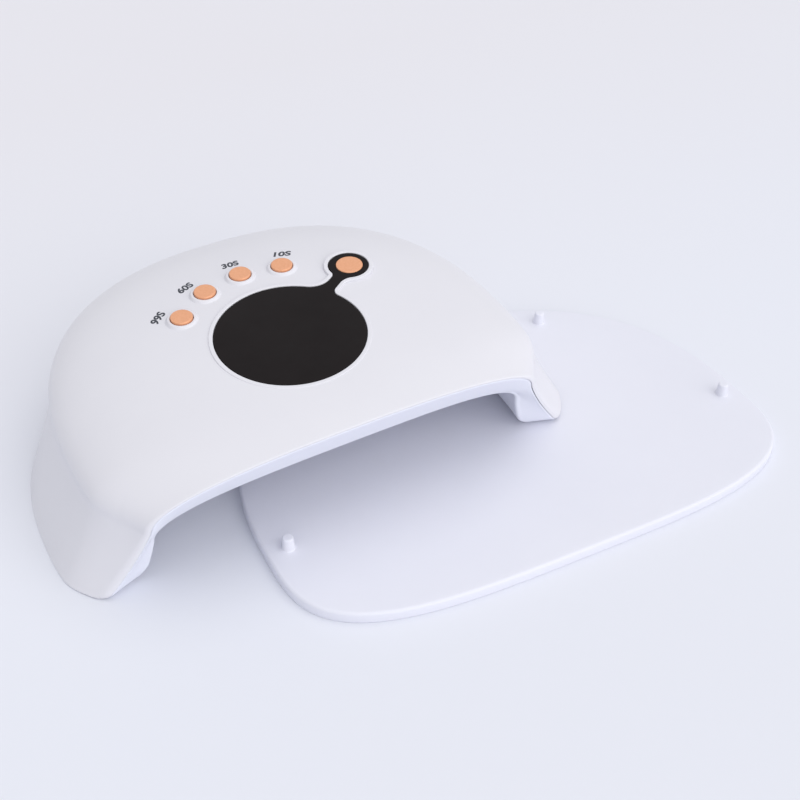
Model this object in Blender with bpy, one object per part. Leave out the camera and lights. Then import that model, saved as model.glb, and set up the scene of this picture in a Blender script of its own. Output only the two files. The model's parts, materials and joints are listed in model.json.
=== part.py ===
"""LED nail lamp: a low arched lamp with timer buttons and a loose base plate.

Metres, +Z up. The origin is the middle of the plate's underside, X runs to the
right and Y to the back of the plate. The lamp stands with its right leg on the
plate and its left foot on the table, so it leans and is turned a little.
"""
import math

import bpy
import numpy as np

# Casing, in the lamp's own frame: x right, y back, z up from the soles
RIM_HALF_WIDTH = 0.125
RIM_BACK = 0.114
RIM_FRONT = 0.084
SIDE_FLARE = 0.0185
BACK_FLARE = 0.0015
FRONT_DRAW = 0.016
CASING_HEIGHT = 0.061
DOME_HEIGHT = 0.0235
CENTRE_LOW_Y = 0.044
CENTRE_SHIFT = 0.003
FRONT_REACH = 0.0407
COVER_WALL = 0.0022
TRAY_WALL = 0.002
# Shares and powers that set the casing's roundness and lean
OUTLINE_POWER_SHARE = 2.4
CASING_ROUND_SHARE = 2.7
CASING_RISE_SHARE = 2.3
FLARE_POWER_SHARE = 1.2
TOP_SLOPE_SHARE = 0.07
FRONT_LEAN_SHARE = 0.23

# Hand space under the arch: what the soles, the legs and the top leave of the casing
SOLE_WIDTH = 0.0305
BACK_SOLE_WIDTH = 0.020
FRONT_SOLE_WIDTH = 0.013
LEG_DEPTH = 0.017
BACK_LEG_DEPTH = 0.0235
CEILING_DEPTH = 0.021
CAVITY_DOME_HEIGHT = 0.018
CAVITY_ROUND_SHARE = 4.0
CAVITY_RISE_SHARE = 2.4
FRONT_BEVEL_DEPTH = 0.006

# Deck: the sloping plane of the display window and the buttons
DECK_BEHIND = 0.006
DECK_DROP = 0.0005
WINDOW_RADIUS = 0.0332
WINDOW_THICKNESS = 0.002
WINDOW_RISE = 0.0002
RING_RADIUS = 0.0091
NECK_WIDTH = 0.0052
NECK_FILLET_WIDE = 0.0065
NECK_FILLET_TIGHT = 0.0035
SURROUND_WIDTH = 0.0022
SURROUND_RISE = 0.0006
SURROUND_DEPTH = 0.0045

# Buttons
TIMER_RADIUS = 0.0051
POWER_RADIUS = 0.0065
CAP_RISE = 0.0016
CAP_BEVEL = 0.0004
BUTTON_TRAVEL = 0.0005
DISH_WIDTH = 0.0019
DISH_RISE = 0.0004
TIMER_SPACING = 0.0171
POWER_SPACING = 0.0229
TIMER_BEARINGS_DEG_SHARES = {
    "button_99s": -49.0,
    "button_60s": -26.0,
    "button_30s": -3.0,
    "button_10s": 20.0,
}
POWER_BEARING_DEG_SHARE = 54.0
PLUNGER_RADIUS = 0.00165
SWITCH_SIDE = 0.006
SWITCH_HEIGHT = 0.0034
STEM_RADIUS = 0.0024
PLUNGER_RISE = 0.0006
PLUNGER_POCKET = 0.0020

# Boards and what they carry
BOARD_THICKNESS = 0.0016
CONTROL_BOARD_WIDTH = 0.100
CONTROL_BOARD_FRONT = -0.018
CONTROL_BOARD_EDGE = 0.0006
MODULE_WIDTH = 0.040
MODULE_DEPTH = 0.022
MODULE_HEIGHT = 0.005
LED_BOARD_SIDE_MARGIN = 0.0275
LED_BOARD_BACK_MARGIN = 0.005
LED_BOARD_AHEAD = 0.028
LED_RADIUS = 0.0022
LED_DEPTH = 0.0030
LED_SIDE_INSET = 0.015
LED_END_INSET = 0.012
LED_COLUMNS = 5
LED_ROWS = 3
SIDE_BOARD_DEPTH = 0.060
SIDE_BOARD_HEIGHT = 0.010
SIDE_LED_INSET = 0.010
SIDE_LED_COUNT = 3
SENSOR_RADIUS = 0.0015
SENSOR_SPACING = 0.012
SENSOR_LENGTH = 0.0050
RIBBON_WIDTH = 0.012
RIBBON_THICKNESS = 0.0008
RIBBON_X = 0.028

# Fasteners
BOARD_POST_RADIUS = 0.0032
BOARD_SCREW_RADIUS = 0.00125
BOARD_SCREW_HEAD_RADIUS = 0.0025
BOARD_SCREW_HEAD_HEIGHT = 0.0014
BOARD_SCREW_LENGTH = 0.0045
BOARD_SCREW_INSET = 0.005
CASING_POST_RADIUS = 0.0036
CASING_SCREW_RADIUS = 0.0015
CASING_SCREW_HEAD_RADIUS = 0.003
CASING_SCREW_HEAD_HEIGHT = 0.0022
CASING_SCREW_LENGTH = 0.011
SCREW_POCKET_DEPTH = 0.0040
SCREW_POCKET_WALL = 0.0018
SIDE_SCREW_INSET = 0.0165
SIDE_SCREW_BEHIND = 0.026
BACK_SCREW_X = 0.036
BACK_SCREW_INSET = 0.0115

# Supply socket and its lead
SOCKET_WIDTH = 0.009
SOCKET_HEIGHT = 0.011
SOCKET_DEPTH = 0.0095
SOCKET_MOUTH_RADIUS = 0.0032
SOCKET_PIN_RADIUS = 0.0009
SOCKET_PIN_RECESS = 0.0018
SOCKET_CENTRE_Z = 0.0145
SOCKET_WALL = 0.0015
LEAD_RADIUS = 0.0012
LEAD_BEND_RISE = 0.0005
LEAD_INSET = 0.0235
LEAD_DROP = 0.010
LEAD_STEPS = 8

# Base plate: a little smaller than the casing's rim that docks on it
PLATE_SIDE_INSET = 0.0005
PLATE_BACK_INSET = 0.001
PLATE_FRONT = 0.061
PLATE_WIDEST_Y = -0.033
PLATE_THICKNESS = 0.0053
PLATE_EDGE_ROUND = 0.0014
PLATE_FRONT_POWER_SHARE = 3.6
PLATE_BACK_POWER_SHARE = 2.4
PEG_BASE_RADIUS = 0.0029
PEG_TOP_RADIUS = 0.0024
PEG_HEIGHT = 0.0062
FRONT_PEG_INSET = 0.010
FRONT_PEG_AHEAD = 0.0035
BACK_PEG_SIDE_INSET = 0.0576
BACK_PEG_INSET = 0.0246

# How the lamp stands over the plate
LAMP_X = -0.0793
LAMP_Y = -0.0252
LAMP_TURN_DEG_SHARE = 2.1
SOLE_CONTACT_INSET = 0.0105

# Clearances and how finely round things are drawn
GAP = 0.0003
SEAM_GAP = 0.0007
OVERRUN = 0.002
BACK_COLUMNS = 36
FRONT_COLUMNS = 24
DOME_ROWS = 10
SKIRT_ROWS = 4
PLATE_COLUMNS = 72
PLATE_EDGE_STEPS = 3
CAVITY_DOME_STEPS = 6
CAVITY_SKIRT_STEPS = 2
ROUND_SIDES = 24
SMALL_SIDES = 10
SWITCH_SIDES = 12
SHARP_ANGLE = math.radians(35)
TOLERANCE = 0.000001

# Worked out from the sizes above: the casing's waist and places
WAIST_HALF_WIDTH = RIM_HALF_WIDTH - SIDE_FLARE
WAIST_BACK = RIM_BACK - BACK_FLARE
WAIST_FRONT = RIM_FRONT + FRONT_DRAW
WAIST_HEIGHT = CASING_HEIGHT - DOME_HEIGHT
CENTRE_TOP_Y = CENTRE_LOW_Y + CENTRE_SHIFT
FRONT_FOOT_Y = CENTRE_LOW_Y - FRONT_REACH
# The hand space
CAVITY_HALF_WIDTH = RIM_HALF_WIDTH - SOLE_WIDTH
CAVITY_BACK = RIM_BACK - BACK_SOLE_WIDTH
CAVITY_FRONT = RIM_FRONT - FRONT_SOLE_WIDTH
CAVITY_WAIST_HALF_WIDTH = WAIST_HALF_WIDTH - LEG_DEPTH
CAVITY_WAIST_BACK = WAIST_BACK - BACK_LEG_DEPTH
CAVITY_WAIST_FRONT = WAIST_FRONT
CAVITY_HEIGHT = CASING_HEIGHT - CEILING_DEPTH
CAVITY_WAIST_HEIGHT = CAVITY_HEIGHT - CAVITY_DOME_HEIGHT
# The deck and the button orbits
DECK_Y = CENTRE_TOP_Y + DECK_BEHIND
DECK_HEIGHT = CASING_HEIGHT - DECK_DROP
TIMER_ORBIT = WINDOW_RADIUS + TIMER_SPACING
POWER_ORBIT = WINDOW_RADIUS + POWER_SPACING
# Boards, lamps and screws
CONTROL_BOARD_DEPTH = TIMER_ORBIT + SWITCH_SIDE / 2 + CONTROL_BOARD_EDGE - CONTROL_BOARD_FRONT
LED_BOARD_WIDTH = 2 * (CAVITY_WAIST_HALF_WIDTH - LED_BOARD_SIDE_MARGIN)
LED_BOARD_DEPTH = CAVITY_WAIST_BACK - LED_BOARD_BACK_MARGIN
LED_BOARD_MIDDLE_Y = CENTRE_LOW_Y - LED_BOARD_AHEAD + LED_BOARD_DEPTH / 2
LED_PITCH_X = (LED_BOARD_WIDTH - 2 * LED_SIDE_INSET) / (LED_COLUMNS - 1)
LED_PITCH_Y = (LED_BOARD_DEPTH - 2 * LED_END_INSET) / (LED_ROWS - 1)
SIDE_LED_PITCH = (SIDE_BOARD_DEPTH - 2 * SIDE_LED_INSET) / (SIDE_LED_COUNT - 1)
SIDE_SCREW_X = RIM_HALF_WIDTH - SIDE_SCREW_INSET
SIDE_SCREW_Y = CENTRE_LOW_Y + SIDE_SCREW_BEHIND
BACK_SCREW_Y = CENTRE_LOW_Y + RIM_BACK - BACK_SCREW_INSET
LEAD_BEND_Z = WAIST_HEIGHT + LEAD_BEND_RISE
LEAD_TOP_Y = CENTRE_LOW_Y + WAIST_BACK - LEAD_INSET
LEAD_TOP_Z = DECK_HEIGHT - LEAD_DROP
# The plate, its pegs and how far the lamp's right sole reaches over it
PLATE_HALF_WIDTH = RIM_HALF_WIDTH - PLATE_SIDE_INSET
PLATE_BACK = RIM_BACK - PLATE_BACK_INSET
FRONT_PEG_X = PLATE_HALF_WIDTH - FRONT_PEG_INSET
FRONT_PEG_Y = PLATE_WIDEST_Y - FRONT_PEG_AHEAD
BACK_PEG_X = PLATE_HALF_WIDTH - BACK_PEG_SIDE_INSET
BACK_PEG_Y = PLATE_WIDEST_Y + PLATE_BACK - BACK_PEG_INSET
SOLE_CONTACT_X = CAVITY_HALF_WIDTH - SOLE_CONTACT_INSET
# Heights on the deck, then over the soles
MODULE_TOP = WINDOW_RISE - WINDOW_THICKNESS - GAP
BOARD_TOP = MODULE_TOP - MODULE_HEIGHT - GAP
BOARD_BOTTOM = BOARD_TOP - BOARD_THICKNESS
SWITCH_TOP = BOARD_TOP + GAP + SWITCH_HEIGHT
POST_FOOT = SCREW_POCKET_DEPTH + SCREW_POCKET_WALL + GAP
CEILING_TOP = CAVITY_HEIGHT + TRAY_WALL + GAP


# Materials and plain mesh helpers

def material(name, colour, roughness, metallic=0.0):
    mat = bpy.data.materials.new(name)
    mat.use_nodes = True
    shader = mat.node_tree.nodes["Principled BSDF"]
    shader.inputs["Base Color"].default_value = (*colour, 1.0)
    shader.inputs["Roughness"].default_value = roughness
    shader.inputs["Metallic"].default_value = metallic
    return mat


def make_object(name, vertices, faces, mat, parent=None):
    """A named object whose vertices are already in its parent's frame."""
    mesh = bpy.data.meshes.new(name)
    mesh.from_pydata([tuple(v) for v in vertices], [], faces)
    mesh.shade_smooth()
    mesh.set_sharp_from_angle(angle=SHARP_ANGLE)
    mesh.materials.append(mat)
    obj = bpy.data.objects.new(name, mesh)
    obj.parent = parent
    bpy.context.collection.objects.link(obj)
    return obj


def make_empty(name, location, rotation, parent=None):
    empty = bpy.data.objects.new(name, None)
    empty.location = location
    empty.rotation_euler = rotation
    empty.parent = parent
    bpy.context.collection.objects.link(empty)
    return empty


def loft_shell(rings):
    """Vertices and faces of one body: rings joined in turn, both ends closed."""
    count = len(rings[0])
    vertices = [point for ring in rings for point in ring]
    faces = [tuple(reversed(range(count)))]
    for level in range(len(rings) - 1):
        low = level * count
        high = low + count
        for i in range(count):
            j = (i + 1) % count
            faces.append((low + i, low + j, high + j, high + i))
    top = (len(rings) - 1) * count
    faces.append(tuple(range(top, top + count)))
    return vertices, faces


def join_shells(shells):
    """Several separate bodies as one list of vertices and faces."""
    vertices, faces = [], []
    for some_vertices, some_faces in shells:
        start = len(vertices)
        vertices.extend(some_vertices)
        faces.extend(tuple(start + i for i in face) for face in some_faces)
    return vertices, faces


def circle(radius, z, sides, centre=(0.0, 0.0)):
    angles = [2 * math.pi * i / sides for i in range(sides)]
    return [(centre[0] + radius * math.cos(a), centre[1] + radius * math.sin(a), z) for a in angles]


def turned(profile, sides, centre=(0.0, 0.0)):
    """A round body from (radius, height) pairs, listed from the bottom up."""
    return loft_shell([circle(radius, z, sides, centre) for radius, z in profile])


def box_shell(low, high):
    (x0, y0, z0), (x1, y1, z1) = low, high
    return loft_shell([[(x0, y0, z), (x1, y0, z), (x1, y1, z), (x0, y1, z)] for z in (z0, z1)])


def move_points(shell, new_place):
    """Send each vertex through a function, keeping the faces."""
    vertices, faces = shell
    return [new_place(*vertex) for vertex in vertices], faces


def tube(path, radius, sides):
    """A round lead along a path that stays in one upright plane across X."""
    rings = []
    for i, (x, y, z) in enumerate(path):
        before, after = path[max(i - 1, 0)], path[min(i + 1, len(path) - 1)]
        run = math.hypot(after[1] - before[1], after[2] - before[2])
        forth, up = (after[1] - before[1]) / run, (after[2] - before[2]) / run
        rings.append([(x + across, y + up * along, z - forth * along)
                      for across, along, _ in circle(radius, 0, sides)])
    return loft_shell(rings)


def combine(target, tool_name, shell, parent, operation):
    """Add or cut a hidden body on the target with a live Boolean."""
    tool = make_object(tool_name, *shell, target.data.materials[0], parent)
    tool.hide_render = True
    tool.display_type = 'WIRE'
    boolean = target.modifiers.new(tool_name, 'BOOLEAN')
    boolean.operation = operation
    boolean.object = tool
    boolean.solver = 'EXACT'


# Casing and cavity forms

def casing_form(inset):
    """Sizes of the casing's outer form, drawn in by an inset."""
    return {
        "rim": (RIM_HALF_WIDTH - inset, RIM_BACK - inset, RIM_FRONT - inset),
        "waist": (WAIST_HALF_WIDTH - inset, WAIST_BACK - inset, WAIST_FRONT - inset),
        "waist_height": WAIST_HEIGHT,
        "height": CASING_HEIGHT - inset,
        "round": CASING_ROUND_SHARE,
        "rise": CASING_RISE_SHARE,
    }


def cavity_form(grow):
    """Sizes of the hand space, grown outwards by a wall."""
    return {
        "rim": (CAVITY_HALF_WIDTH + grow, CAVITY_BACK + grow, CAVITY_FRONT + grow),
        "waist": (CAVITY_WAIST_HALF_WIDTH + grow, CAVITY_WAIST_BACK + grow, CAVITY_WAIST_FRONT + grow),
        "waist_height": CAVITY_WAIST_HEIGHT,
        "height": CAVITY_HEIGHT + grow,
        "round": CAVITY_ROUND_SHARE,
        "rise": CAVITY_RISE_SHARE,
    }


def slope_factor(y):
    """The whole form rises towards the back by this factor."""
    return 1 + TOP_SLOPE_SHARE * (y - DECK_Y) / CASING_HEIGHT


def form_points(form, angle, path):
    """Points of a domed form. The angle runs round it from the back, and the path
    is 0 at the apex, 1 at the waist and 2 at the floor."""
    dome = np.clip(path, 0, 1) * math.pi / 2
    skirt = np.clip(path - 1, 0, 1)
    across = np.sin(dome) ** (2 / form["round"])
    up = np.maximum(np.cos(dome), 0) ** (2 / form["rise"])
    waist_height = form["waist_height"]
    over_waist = (form["height"] - waist_height) * up
    level = np.where(path < 1, waist_height + over_waist, waist_height * (1 - skirt))
    flare = skirt ** FLARE_POWER_SHARE
    half, back, front = [(waist + (rim - waist) * flare) * across
                         for waist, rim in zip(form["waist"], form["rim"])]
    side, ahead = np.sin(angle), np.cos(angle)
    power = OUTLINE_POWER_SHARE
    size = (np.abs(side) ** power + np.abs(ahead) ** power) ** (-1 / power)
    centre = CENTRE_LOW_Y + (CENTRE_TOP_Y - CENTRE_LOW_Y) * level / form["height"]
    x = half * side * size
    y = centre + np.where(ahead > 0, back, front) * ahead * size
    return np.stack([x, y, level * slope_factor(y)], axis=-1)


def path_end(form, angle, setback, floor):
    """How far each column runs before it meets the front face or the floor."""
    low = np.zeros_like(angle)
    high = np.full_like(angle, 2.0)
    for _ in range(50):
        middle = (low + high) / 2
        points = form_points(form, angle, middle)
        front = FRONT_FOOT_Y + setback - FRONT_LEAN_SHARE * points[:, 2]
        inside = (points[:, 1] >= front) & (points[:, 2] >= floor)
        low = np.where(inside, middle, low)
        high = np.where(inside, high, middle)
    return (low + high) / 2


def corner_angle(form, setback, floor):
    """The angle at which the outline's front corner stands on the floor."""
    low, high = math.pi / 2, math.pi
    for _ in range(40):
        middle = (low + high) / 2
        end = path_end(form, np.array([middle]), setback, floor)
        point = form_points(form, np.array([middle]), end)[0]
        if point[2] <= floor + TOLERANCE:
            low = middle
        else:
            high = middle
    return low


def even_angles(form, setback, floor, first, last, count):
    """Angles between two columns that part the form's edge into even steps."""
    fine = np.linspace(first, last, 40 * count)
    edge = form_points(form, fine, path_end(form, fine, setback, floor))
    run = np.concatenate([[0], np.cumsum(np.linalg.norm(np.diff(edge, axis=0), axis=1))])
    return np.interp(np.linspace(0, run[-1], count + 1), run, fine)


def form_grid(form, setback, floor, dome_rows, skirt_rows):
    """Rows of points from beside the apex out to the edge, one column per angle."""
    corner = corner_angle(form, setback, floor)
    back = even_angles(form, setback, floor, -corner, corner, BACK_COLUMNS)
    front = even_angles(form, setback, floor, corner, 2 * math.pi - corner, FRONT_COLUMNS)
    angles = np.concatenate([back, front[1:-1]])
    ends = path_end(form, angles, setback, floor)
    shares = np.concatenate([np.linspace(0, 1, dome_rows + 1)[1:], np.linspace(1, 2, skirt_rows + 1)[1:]])
    return np.stack([form_points(form, angles, ends * share / 2) for share in shares])


def apex(form):
    return form_points(form, np.array([0.0]), np.array([0.0]))[0]


def sheet_shell(upper_apex, upper_rows, lower_apex, lower_rows):
    """One closed body between two sheets of rows, joined along their edges."""
    rows, columns, _ = upper_rows.shape
    vertices = [upper_apex, *upper_rows.reshape(-1, 3), lower_apex, *lower_rows.reshape(-1, 3)]
    lower = 1 + rows * columns
    faces = []
    for i in range(columns):
        j = (i + 1) % columns
        faces.append((0, 1 + j, 1 + i))
        faces.append((lower, lower + 1 + i, lower + 1 + j))
        for row in range(rows - 1):
            near = 1 + row * columns
            far = near + columns
            faces.append((near + i, near + j, far + j, far + i))
            faces.append((lower + near + i, lower + far + i, lower + far + j, lower + near + j))
        last = 1 + (rows - 1) * columns
        faces.append((last + i, last + j, lower + last + j, lower + last + i))
    return vertices, faces


def form_height(form, x, y):
    """Height of a form above a place in its plan."""
    low, high = 0.0, form["height"]
    for _ in range(40):
        level = (low + high) / 2
        rise = max(level - form["waist_height"], 0) / (form["height"] - form["waist_height"])
        across = (1 - rise ** form["rise"]) ** (1 / form["round"])
        flare = max(1 - level / form["waist_height"], 0) ** FLARE_POWER_SHARE
        half, back, front = [(waist + (rim - waist) * flare) * across
                             for waist, rim in zip(form["waist"], form["rim"])]
        centre = CENTRE_LOW_Y + (CENTRE_TOP_Y - CENTRE_LOW_Y) * level / form["height"]
        reach = back if y > centre else front
        share = abs(x / half) ** OUTLINE_POWER_SHARE + abs((y - centre) / reach) ** OUTLINE_POWER_SHARE
        if share < 1:
            low = level
        else:
            high = level
    return low * slope_factor(y)


# Display window outline

def arc(centre, radius, start, end, steps):
    """Points along an arc, both ends included."""
    angles = np.linspace(start, end, steps + 1)
    return [(centre[0] + radius * math.cos(a), centre[1] + radius * math.sin(a)) for a in angles]


def window_outline(grow):
    """Disc, neck and ring in one outline, grown outwards. The neck points along
    the power button's bearing, and its corners are filleted."""
    disc = WINDOW_RADIUS + grow
    ring = RING_RADIUS + grow
    half_neck = NECK_WIDTH / 2 + grow
    left, right = NECK_FILLET_WIDE - grow, NECK_FILLET_TIGHT - grow
    points = []
    for side, fillet in ((-1, right), (1, left)):
        near = (math.sqrt((disc + fillet) ** 2 - (half_neck + fillet) ** 2), side * (half_neck + fillet))
        far_run = math.sqrt((ring + fillet) ** 2 - (half_neck + fillet) ** 2)
        far = (POWER_ORBIT - far_run, side * (half_neck + fillet))
        near_turn = math.atan2(near[1], near[0])
        far_turn = math.atan2(far[1], far[0] - POWER_ORBIT)
        if side < 0:
            start_disc = near_turn
            start_ring = far_turn
            points += arc(near, fillet, near_turn + math.pi, math.pi / 2, 5)
            points += arc(far, fillet, math.pi / 2, far_turn + math.pi, 4)
        else:
            points += arc((POWER_ORBIT, 0.0), ring, start_ring, far_turn, ROUND_SIDES)[1:-1]
            points += arc(far, fillet, far_turn - math.pi, -math.pi / 2, 4)
            points += arc(near, fillet, -math.pi / 2, near_turn - math.pi, 5)
            points += arc((0.0, 0.0), disc, near_turn, start_disc + 2 * math.pi, 2 * ROUND_SIDES)[1:-1]
    bearing = math.pi / 2 - math.radians(POWER_BEARING_DEG_SHARE)
    cos, sin = math.cos(bearing), math.sin(bearing)
    return [(x * cos - y * sin, x * sin + y * cos) for x, y in points]


def window_ring(grow, z):
    return [(x, y, z) for x, y in window_outline(grow)]


# Places on the deck

def orbit_place(radius, bearing_degrees):
    """A place round the display, its bearing turned to the right from the back."""
    bearing = math.radians(bearing_degrees)
    return radius * math.sin(bearing), radius * math.cos(bearing)


def button_table():
    """Name, place and cap radius of every button."""
    table = [(name, orbit_place(TIMER_ORBIT, degrees), TIMER_RADIUS)
             for name, degrees in TIMER_BEARINGS_DEG_SHARES.items()]
    table.append(("button_power", orbit_place(POWER_ORBIT, POWER_BEARING_DEG_SHARE), POWER_RADIUS))
    return table


# Casings

def build_top_cover(lamp, deck, mat):
    outer = casing_form(0.0)
    inner = casing_form(COVER_WALL)
    shell = sheet_shell(apex(outer), form_grid(outer, 0.0, 0.0, DOME_ROWS, SKIRT_ROWS),
                        apex(inner), form_grid(inner, 0.0, 0.0, DOME_ROWS, SKIRT_ROWS))
    cover = make_object("top_cover", *shell, mat, lamp)
    combine(cover, "cover_raised_forms", raised_forms(), deck, 'UNION')
    combine(cover, "cover_screw_posts", casing_posts(), lamp, 'UNION')
    combine(cover, "cover_board_posts", board_posts(), deck, 'UNION')
    combine(cover, "cover_deck_holes", deck_holes(), deck, 'DIFFERENCE')
    combine(cover, "cover_pilot_holes", pilot_holes(), lamp, 'DIFFERENCE')
    combine(cover, "cover_board_pilot_holes", board_pilot_holes(), deck, 'DIFFERENCE')
    combine(cover, "cover_socket_hole", socket_hole(), lamp, 'DIFFERENCE')


def raised_forms():
    """Low surround of the display window and a low dish round each timer button."""
    foot = -SURROUND_DEPTH
    surround = loft_shell([window_ring(SURROUND_WIDTH, foot), window_ring(SURROUND_WIDTH, SURROUND_RISE)])
    dishes = [turned([(radius + DISH_WIDTH, foot), (radius + DISH_WIDTH, DISH_RISE)], ROUND_SIDES, place)
              for name, place, radius in button_table() if name != "button_power"]
    return join_shells([surround, *dishes])


def deck_holes():
    """The window's opening and the hole of each timer button."""
    bottom = -SURROUND_DEPTH - OVERRUN
    top = SURROUND_RISE + OVERRUN
    window = loft_shell([window_ring(GAP, bottom), window_ring(GAP, top)])
    holes = [turned([(radius + GAP, bottom), (radius + GAP, top)], ROUND_SIDES, place)
             for name, place, radius in button_table() if name != "button_power"]
    return join_shells([window, *holes])


def casing_screw_places():
    return [(side * x, y) for x, y in ((SIDE_SCREW_X, SIDE_SCREW_Y), (BACK_SCREW_X, BACK_SCREW_Y))
            for side in (-1, 1)]


def casing_posts():
    """Posts from the cover's wall down to the screw pockets of the tray."""
    roof = casing_form(COVER_WALL / 2)
    posts = []
    for place in casing_screw_places():
        foot = circle(CASING_POST_RADIUS, POST_FOOT, SMALL_SIDES, place)
        head = [(x, y, form_height(roof, x, y)) for x, y, _ in foot]
        posts.append(loft_shell([foot, head]))
    return join_shells(posts)


def pilot_holes():
    radius = CASING_SCREW_RADIUS + GAP
    top = CASING_SCREW_LENGTH + SCREW_POCKET_DEPTH - CASING_SCREW_HEAD_HEIGHT + GAP
    return join_shells([turned([(radius, POST_FOOT - OVERRUN / 2), (radius, top)], SMALL_SIDES, place)
                        for place in casing_screw_places()])


def board_screw_places():
    x = CONTROL_BOARD_WIDTH / 2 - BOARD_SCREW_INSET
    front = CONTROL_BOARD_FRONT + BOARD_SCREW_INSET
    back = CONTROL_BOARD_FRONT + CONTROL_BOARD_DEPTH - BOARD_SCREW_INSET
    return [(side * x, y) for y in (front, back) for side in (-1, 1)]


def board_posts():
    """Short posts that the control board is screwed to, up to the cover's wall."""
    roof = casing_form(COVER_WALL / 2)
    posts = []
    for place in board_screw_places():
        foot = circle(BOARD_POST_RADIUS, BOARD_TOP + GAP, SMALL_SIDES, place)
        head = [(x, y, roof_over_deck(roof, x, y)) for x, y, _ in foot]
        posts.append(loft_shell([foot, head]))
    return join_shells(posts)


def roof_over_deck(form, x, y):
    """Height of a form above or below a place on the deck, square to the deck."""
    tilt = math.atan(TOP_SLOPE_SHARE)
    back = DECK_Y + y * math.cos(tilt)
    return (form_height(form, x, back) - DECK_HEIGHT - y * math.sin(tilt)) * math.cos(tilt)


def board_pilot_holes():
    radius = BOARD_SCREW_RADIUS + GAP
    bottom = BOARD_TOP - OVERRUN
    top = BOARD_BOTTOM + BOARD_SCREW_LENGTH + GAP
    return join_shells([turned([(radius, bottom), (radius, top)], SMALL_SIDES, place)
                        for place in board_screw_places()])


def socket_back():
    """Where the socket's back face lies: just inside the cover's wall."""
    low = SOCKET_CENTRE_Z + SOCKET_HEIGHT / 2
    form = casing_form(COVER_WALL)
    path = 2 - low / WAIST_HEIGHT
    return form_points(form, np.array([0.0]), np.array([path]))[0][1] - GAP


def lay_back(shell):
    """Turn a body that was built upwards so that it points to the back."""
    return move_points(shell, lambda x, y, z: (x, z, SOCKET_CENTRE_Z - y))


def socket_hole():
    radius = SOCKET_MOUTH_RADIUS + GAP
    start = socket_back() + GAP / 2
    return lay_back(turned([(radius, start), (radius, RIM_BACK + CENTRE_LOW_Y + OVERRUN)], ROUND_SIDES))


def build_inner_tray(lamp, ceiling, mat):
    """The hand space's wall and ceiling, turned out to a band and soles that fit in
    the cover: its outer edge follows the cover's inner face."""
    cavity = cavity_form(0.0)
    grown = cavity_form(TRAY_WALL)
    bevel = FRONT_BEVEL_DEPTH
    lower = form_grid(cavity, bevel, 0.0, CAVITY_DOME_STEPS, CAVITY_SKIRT_STEPS)
    upper = form_grid(grown, bevel + TRAY_WALL, TRAY_WALL, CAVITY_DOME_STEPS, CAVITY_SKIRT_STEPS)
    seat = form_grid(casing_form(COVER_WALL + SEAM_GAP), 0.0, 0.0, DOME_ROWS, SKIRT_ROWS)
    edge, above = seat[-1], seat[-2]
    run = np.linalg.norm(above - edge, axis=1)[:, None]
    lower = np.concatenate([lower, edge[None]])
    upper = np.concatenate([upper, (edge + (above - edge) * TRAY_WALL / run)[None]])
    tray = make_object("inner_tray", *sheet_shell(apex(grown), upper, apex(cavity), lower), mat, lamp)
    combine(tray, "tray_screw_bosses", tray_bosses(), lamp, 'UNION')
    combine(tray, "tray_sole_holes", sole_holes(), lamp, 'DIFFERENCE')
    combine(tray, "tray_ceiling_holes", ceiling_holes(), ceiling, 'DIFFERENCE')
    combine(tray, "tray_wall_holes", wall_holes(), lamp, 'DIFFERENCE')


def tray_bosses():
    """A closed pocket over each casing screw's head, standing on the sole."""
    radius = CASING_SCREW_HEAD_RADIUS + GAP + SCREW_POCKET_WALL
    top = SCREW_POCKET_DEPTH + SCREW_POCKET_WALL
    return join_shells([turned([(radius, TRAY_WALL / 2), (radius, top)], SMALL_SIDES, place)
                        for place in casing_screw_places()])


def peg_socket_places():
    """The docked plate's pegs, seen from the lamp: widest lines in one place."""
    shift = CENTRE_LOW_Y - PLATE_WIDEST_Y
    return [(x, y + shift) for x, y in peg_places()]


def sole_holes():
    """Stepped screw pockets and plain peg holes, open below."""
    head = CASING_SCREW_HEAD_RADIUS + GAP
    shank = CASING_SCREW_RADIUS + GAP
    peg = PEG_BASE_RADIUS + GAP
    screws = [turned([(head, -OVERRUN), (head, SCREW_POCKET_DEPTH), (shank, SCREW_POCKET_DEPTH),
                      (shank, POST_FOOT + OVERRUN)], SMALL_SIDES, place) for place in casing_screw_places()]
    pegs = [turned([(peg, -OVERRUN), (peg, TRAY_WALL + OVERRUN)], ROUND_SIDES, place)
            for place in peg_socket_places()]
    return join_shells([*screws, *pegs])


def led_places():
    """Ceiling lamps in rows and columns, in the lamp board's plane."""
    return [((column - (LED_COLUMNS - 1) / 2) * LED_PITCH_X, (row - (LED_ROWS - 1) / 2) * LED_PITCH_Y)
            for row in range(LED_ROWS) for column in range(LED_COLUMNS)]


def sensor_places():
    y = LED_PITCH_Y / 2
    return {"hand_sensor_sender": (-SENSOR_SPACING, -y), "hand_sensor_receiver": (SENSOR_SPACING, -y)}


def ceiling_holes():
    bottom = -CAVITY_HEIGHT / 4
    top = OVERRUN
    lamps = [turned([(LED_RADIUS + GAP, bottom), (LED_RADIUS + GAP, top)], SMALL_SIDES, place)
             for place in led_places()]
    sensors = [turned([(SENSOR_RADIUS + GAP, bottom), (SENSOR_RADIUS + GAP, top)], SMALL_SIDES, place)
               for place in sensor_places().values()]
    return join_shells([*lamps, *sensors])


def side_board_face():
    """How far out the side boards' inner faces lie, clear of the sloping wall."""
    skirt = (SIDE_BOARD_HEIGHT / 2) / CAVITY_WAIST_HEIGHT
    form = cavity_form(TRAY_WALL)
    return form_points(form, np.array([math.pi / 2]), np.array([1 + skirt]))[0][0] + GAP


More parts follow.
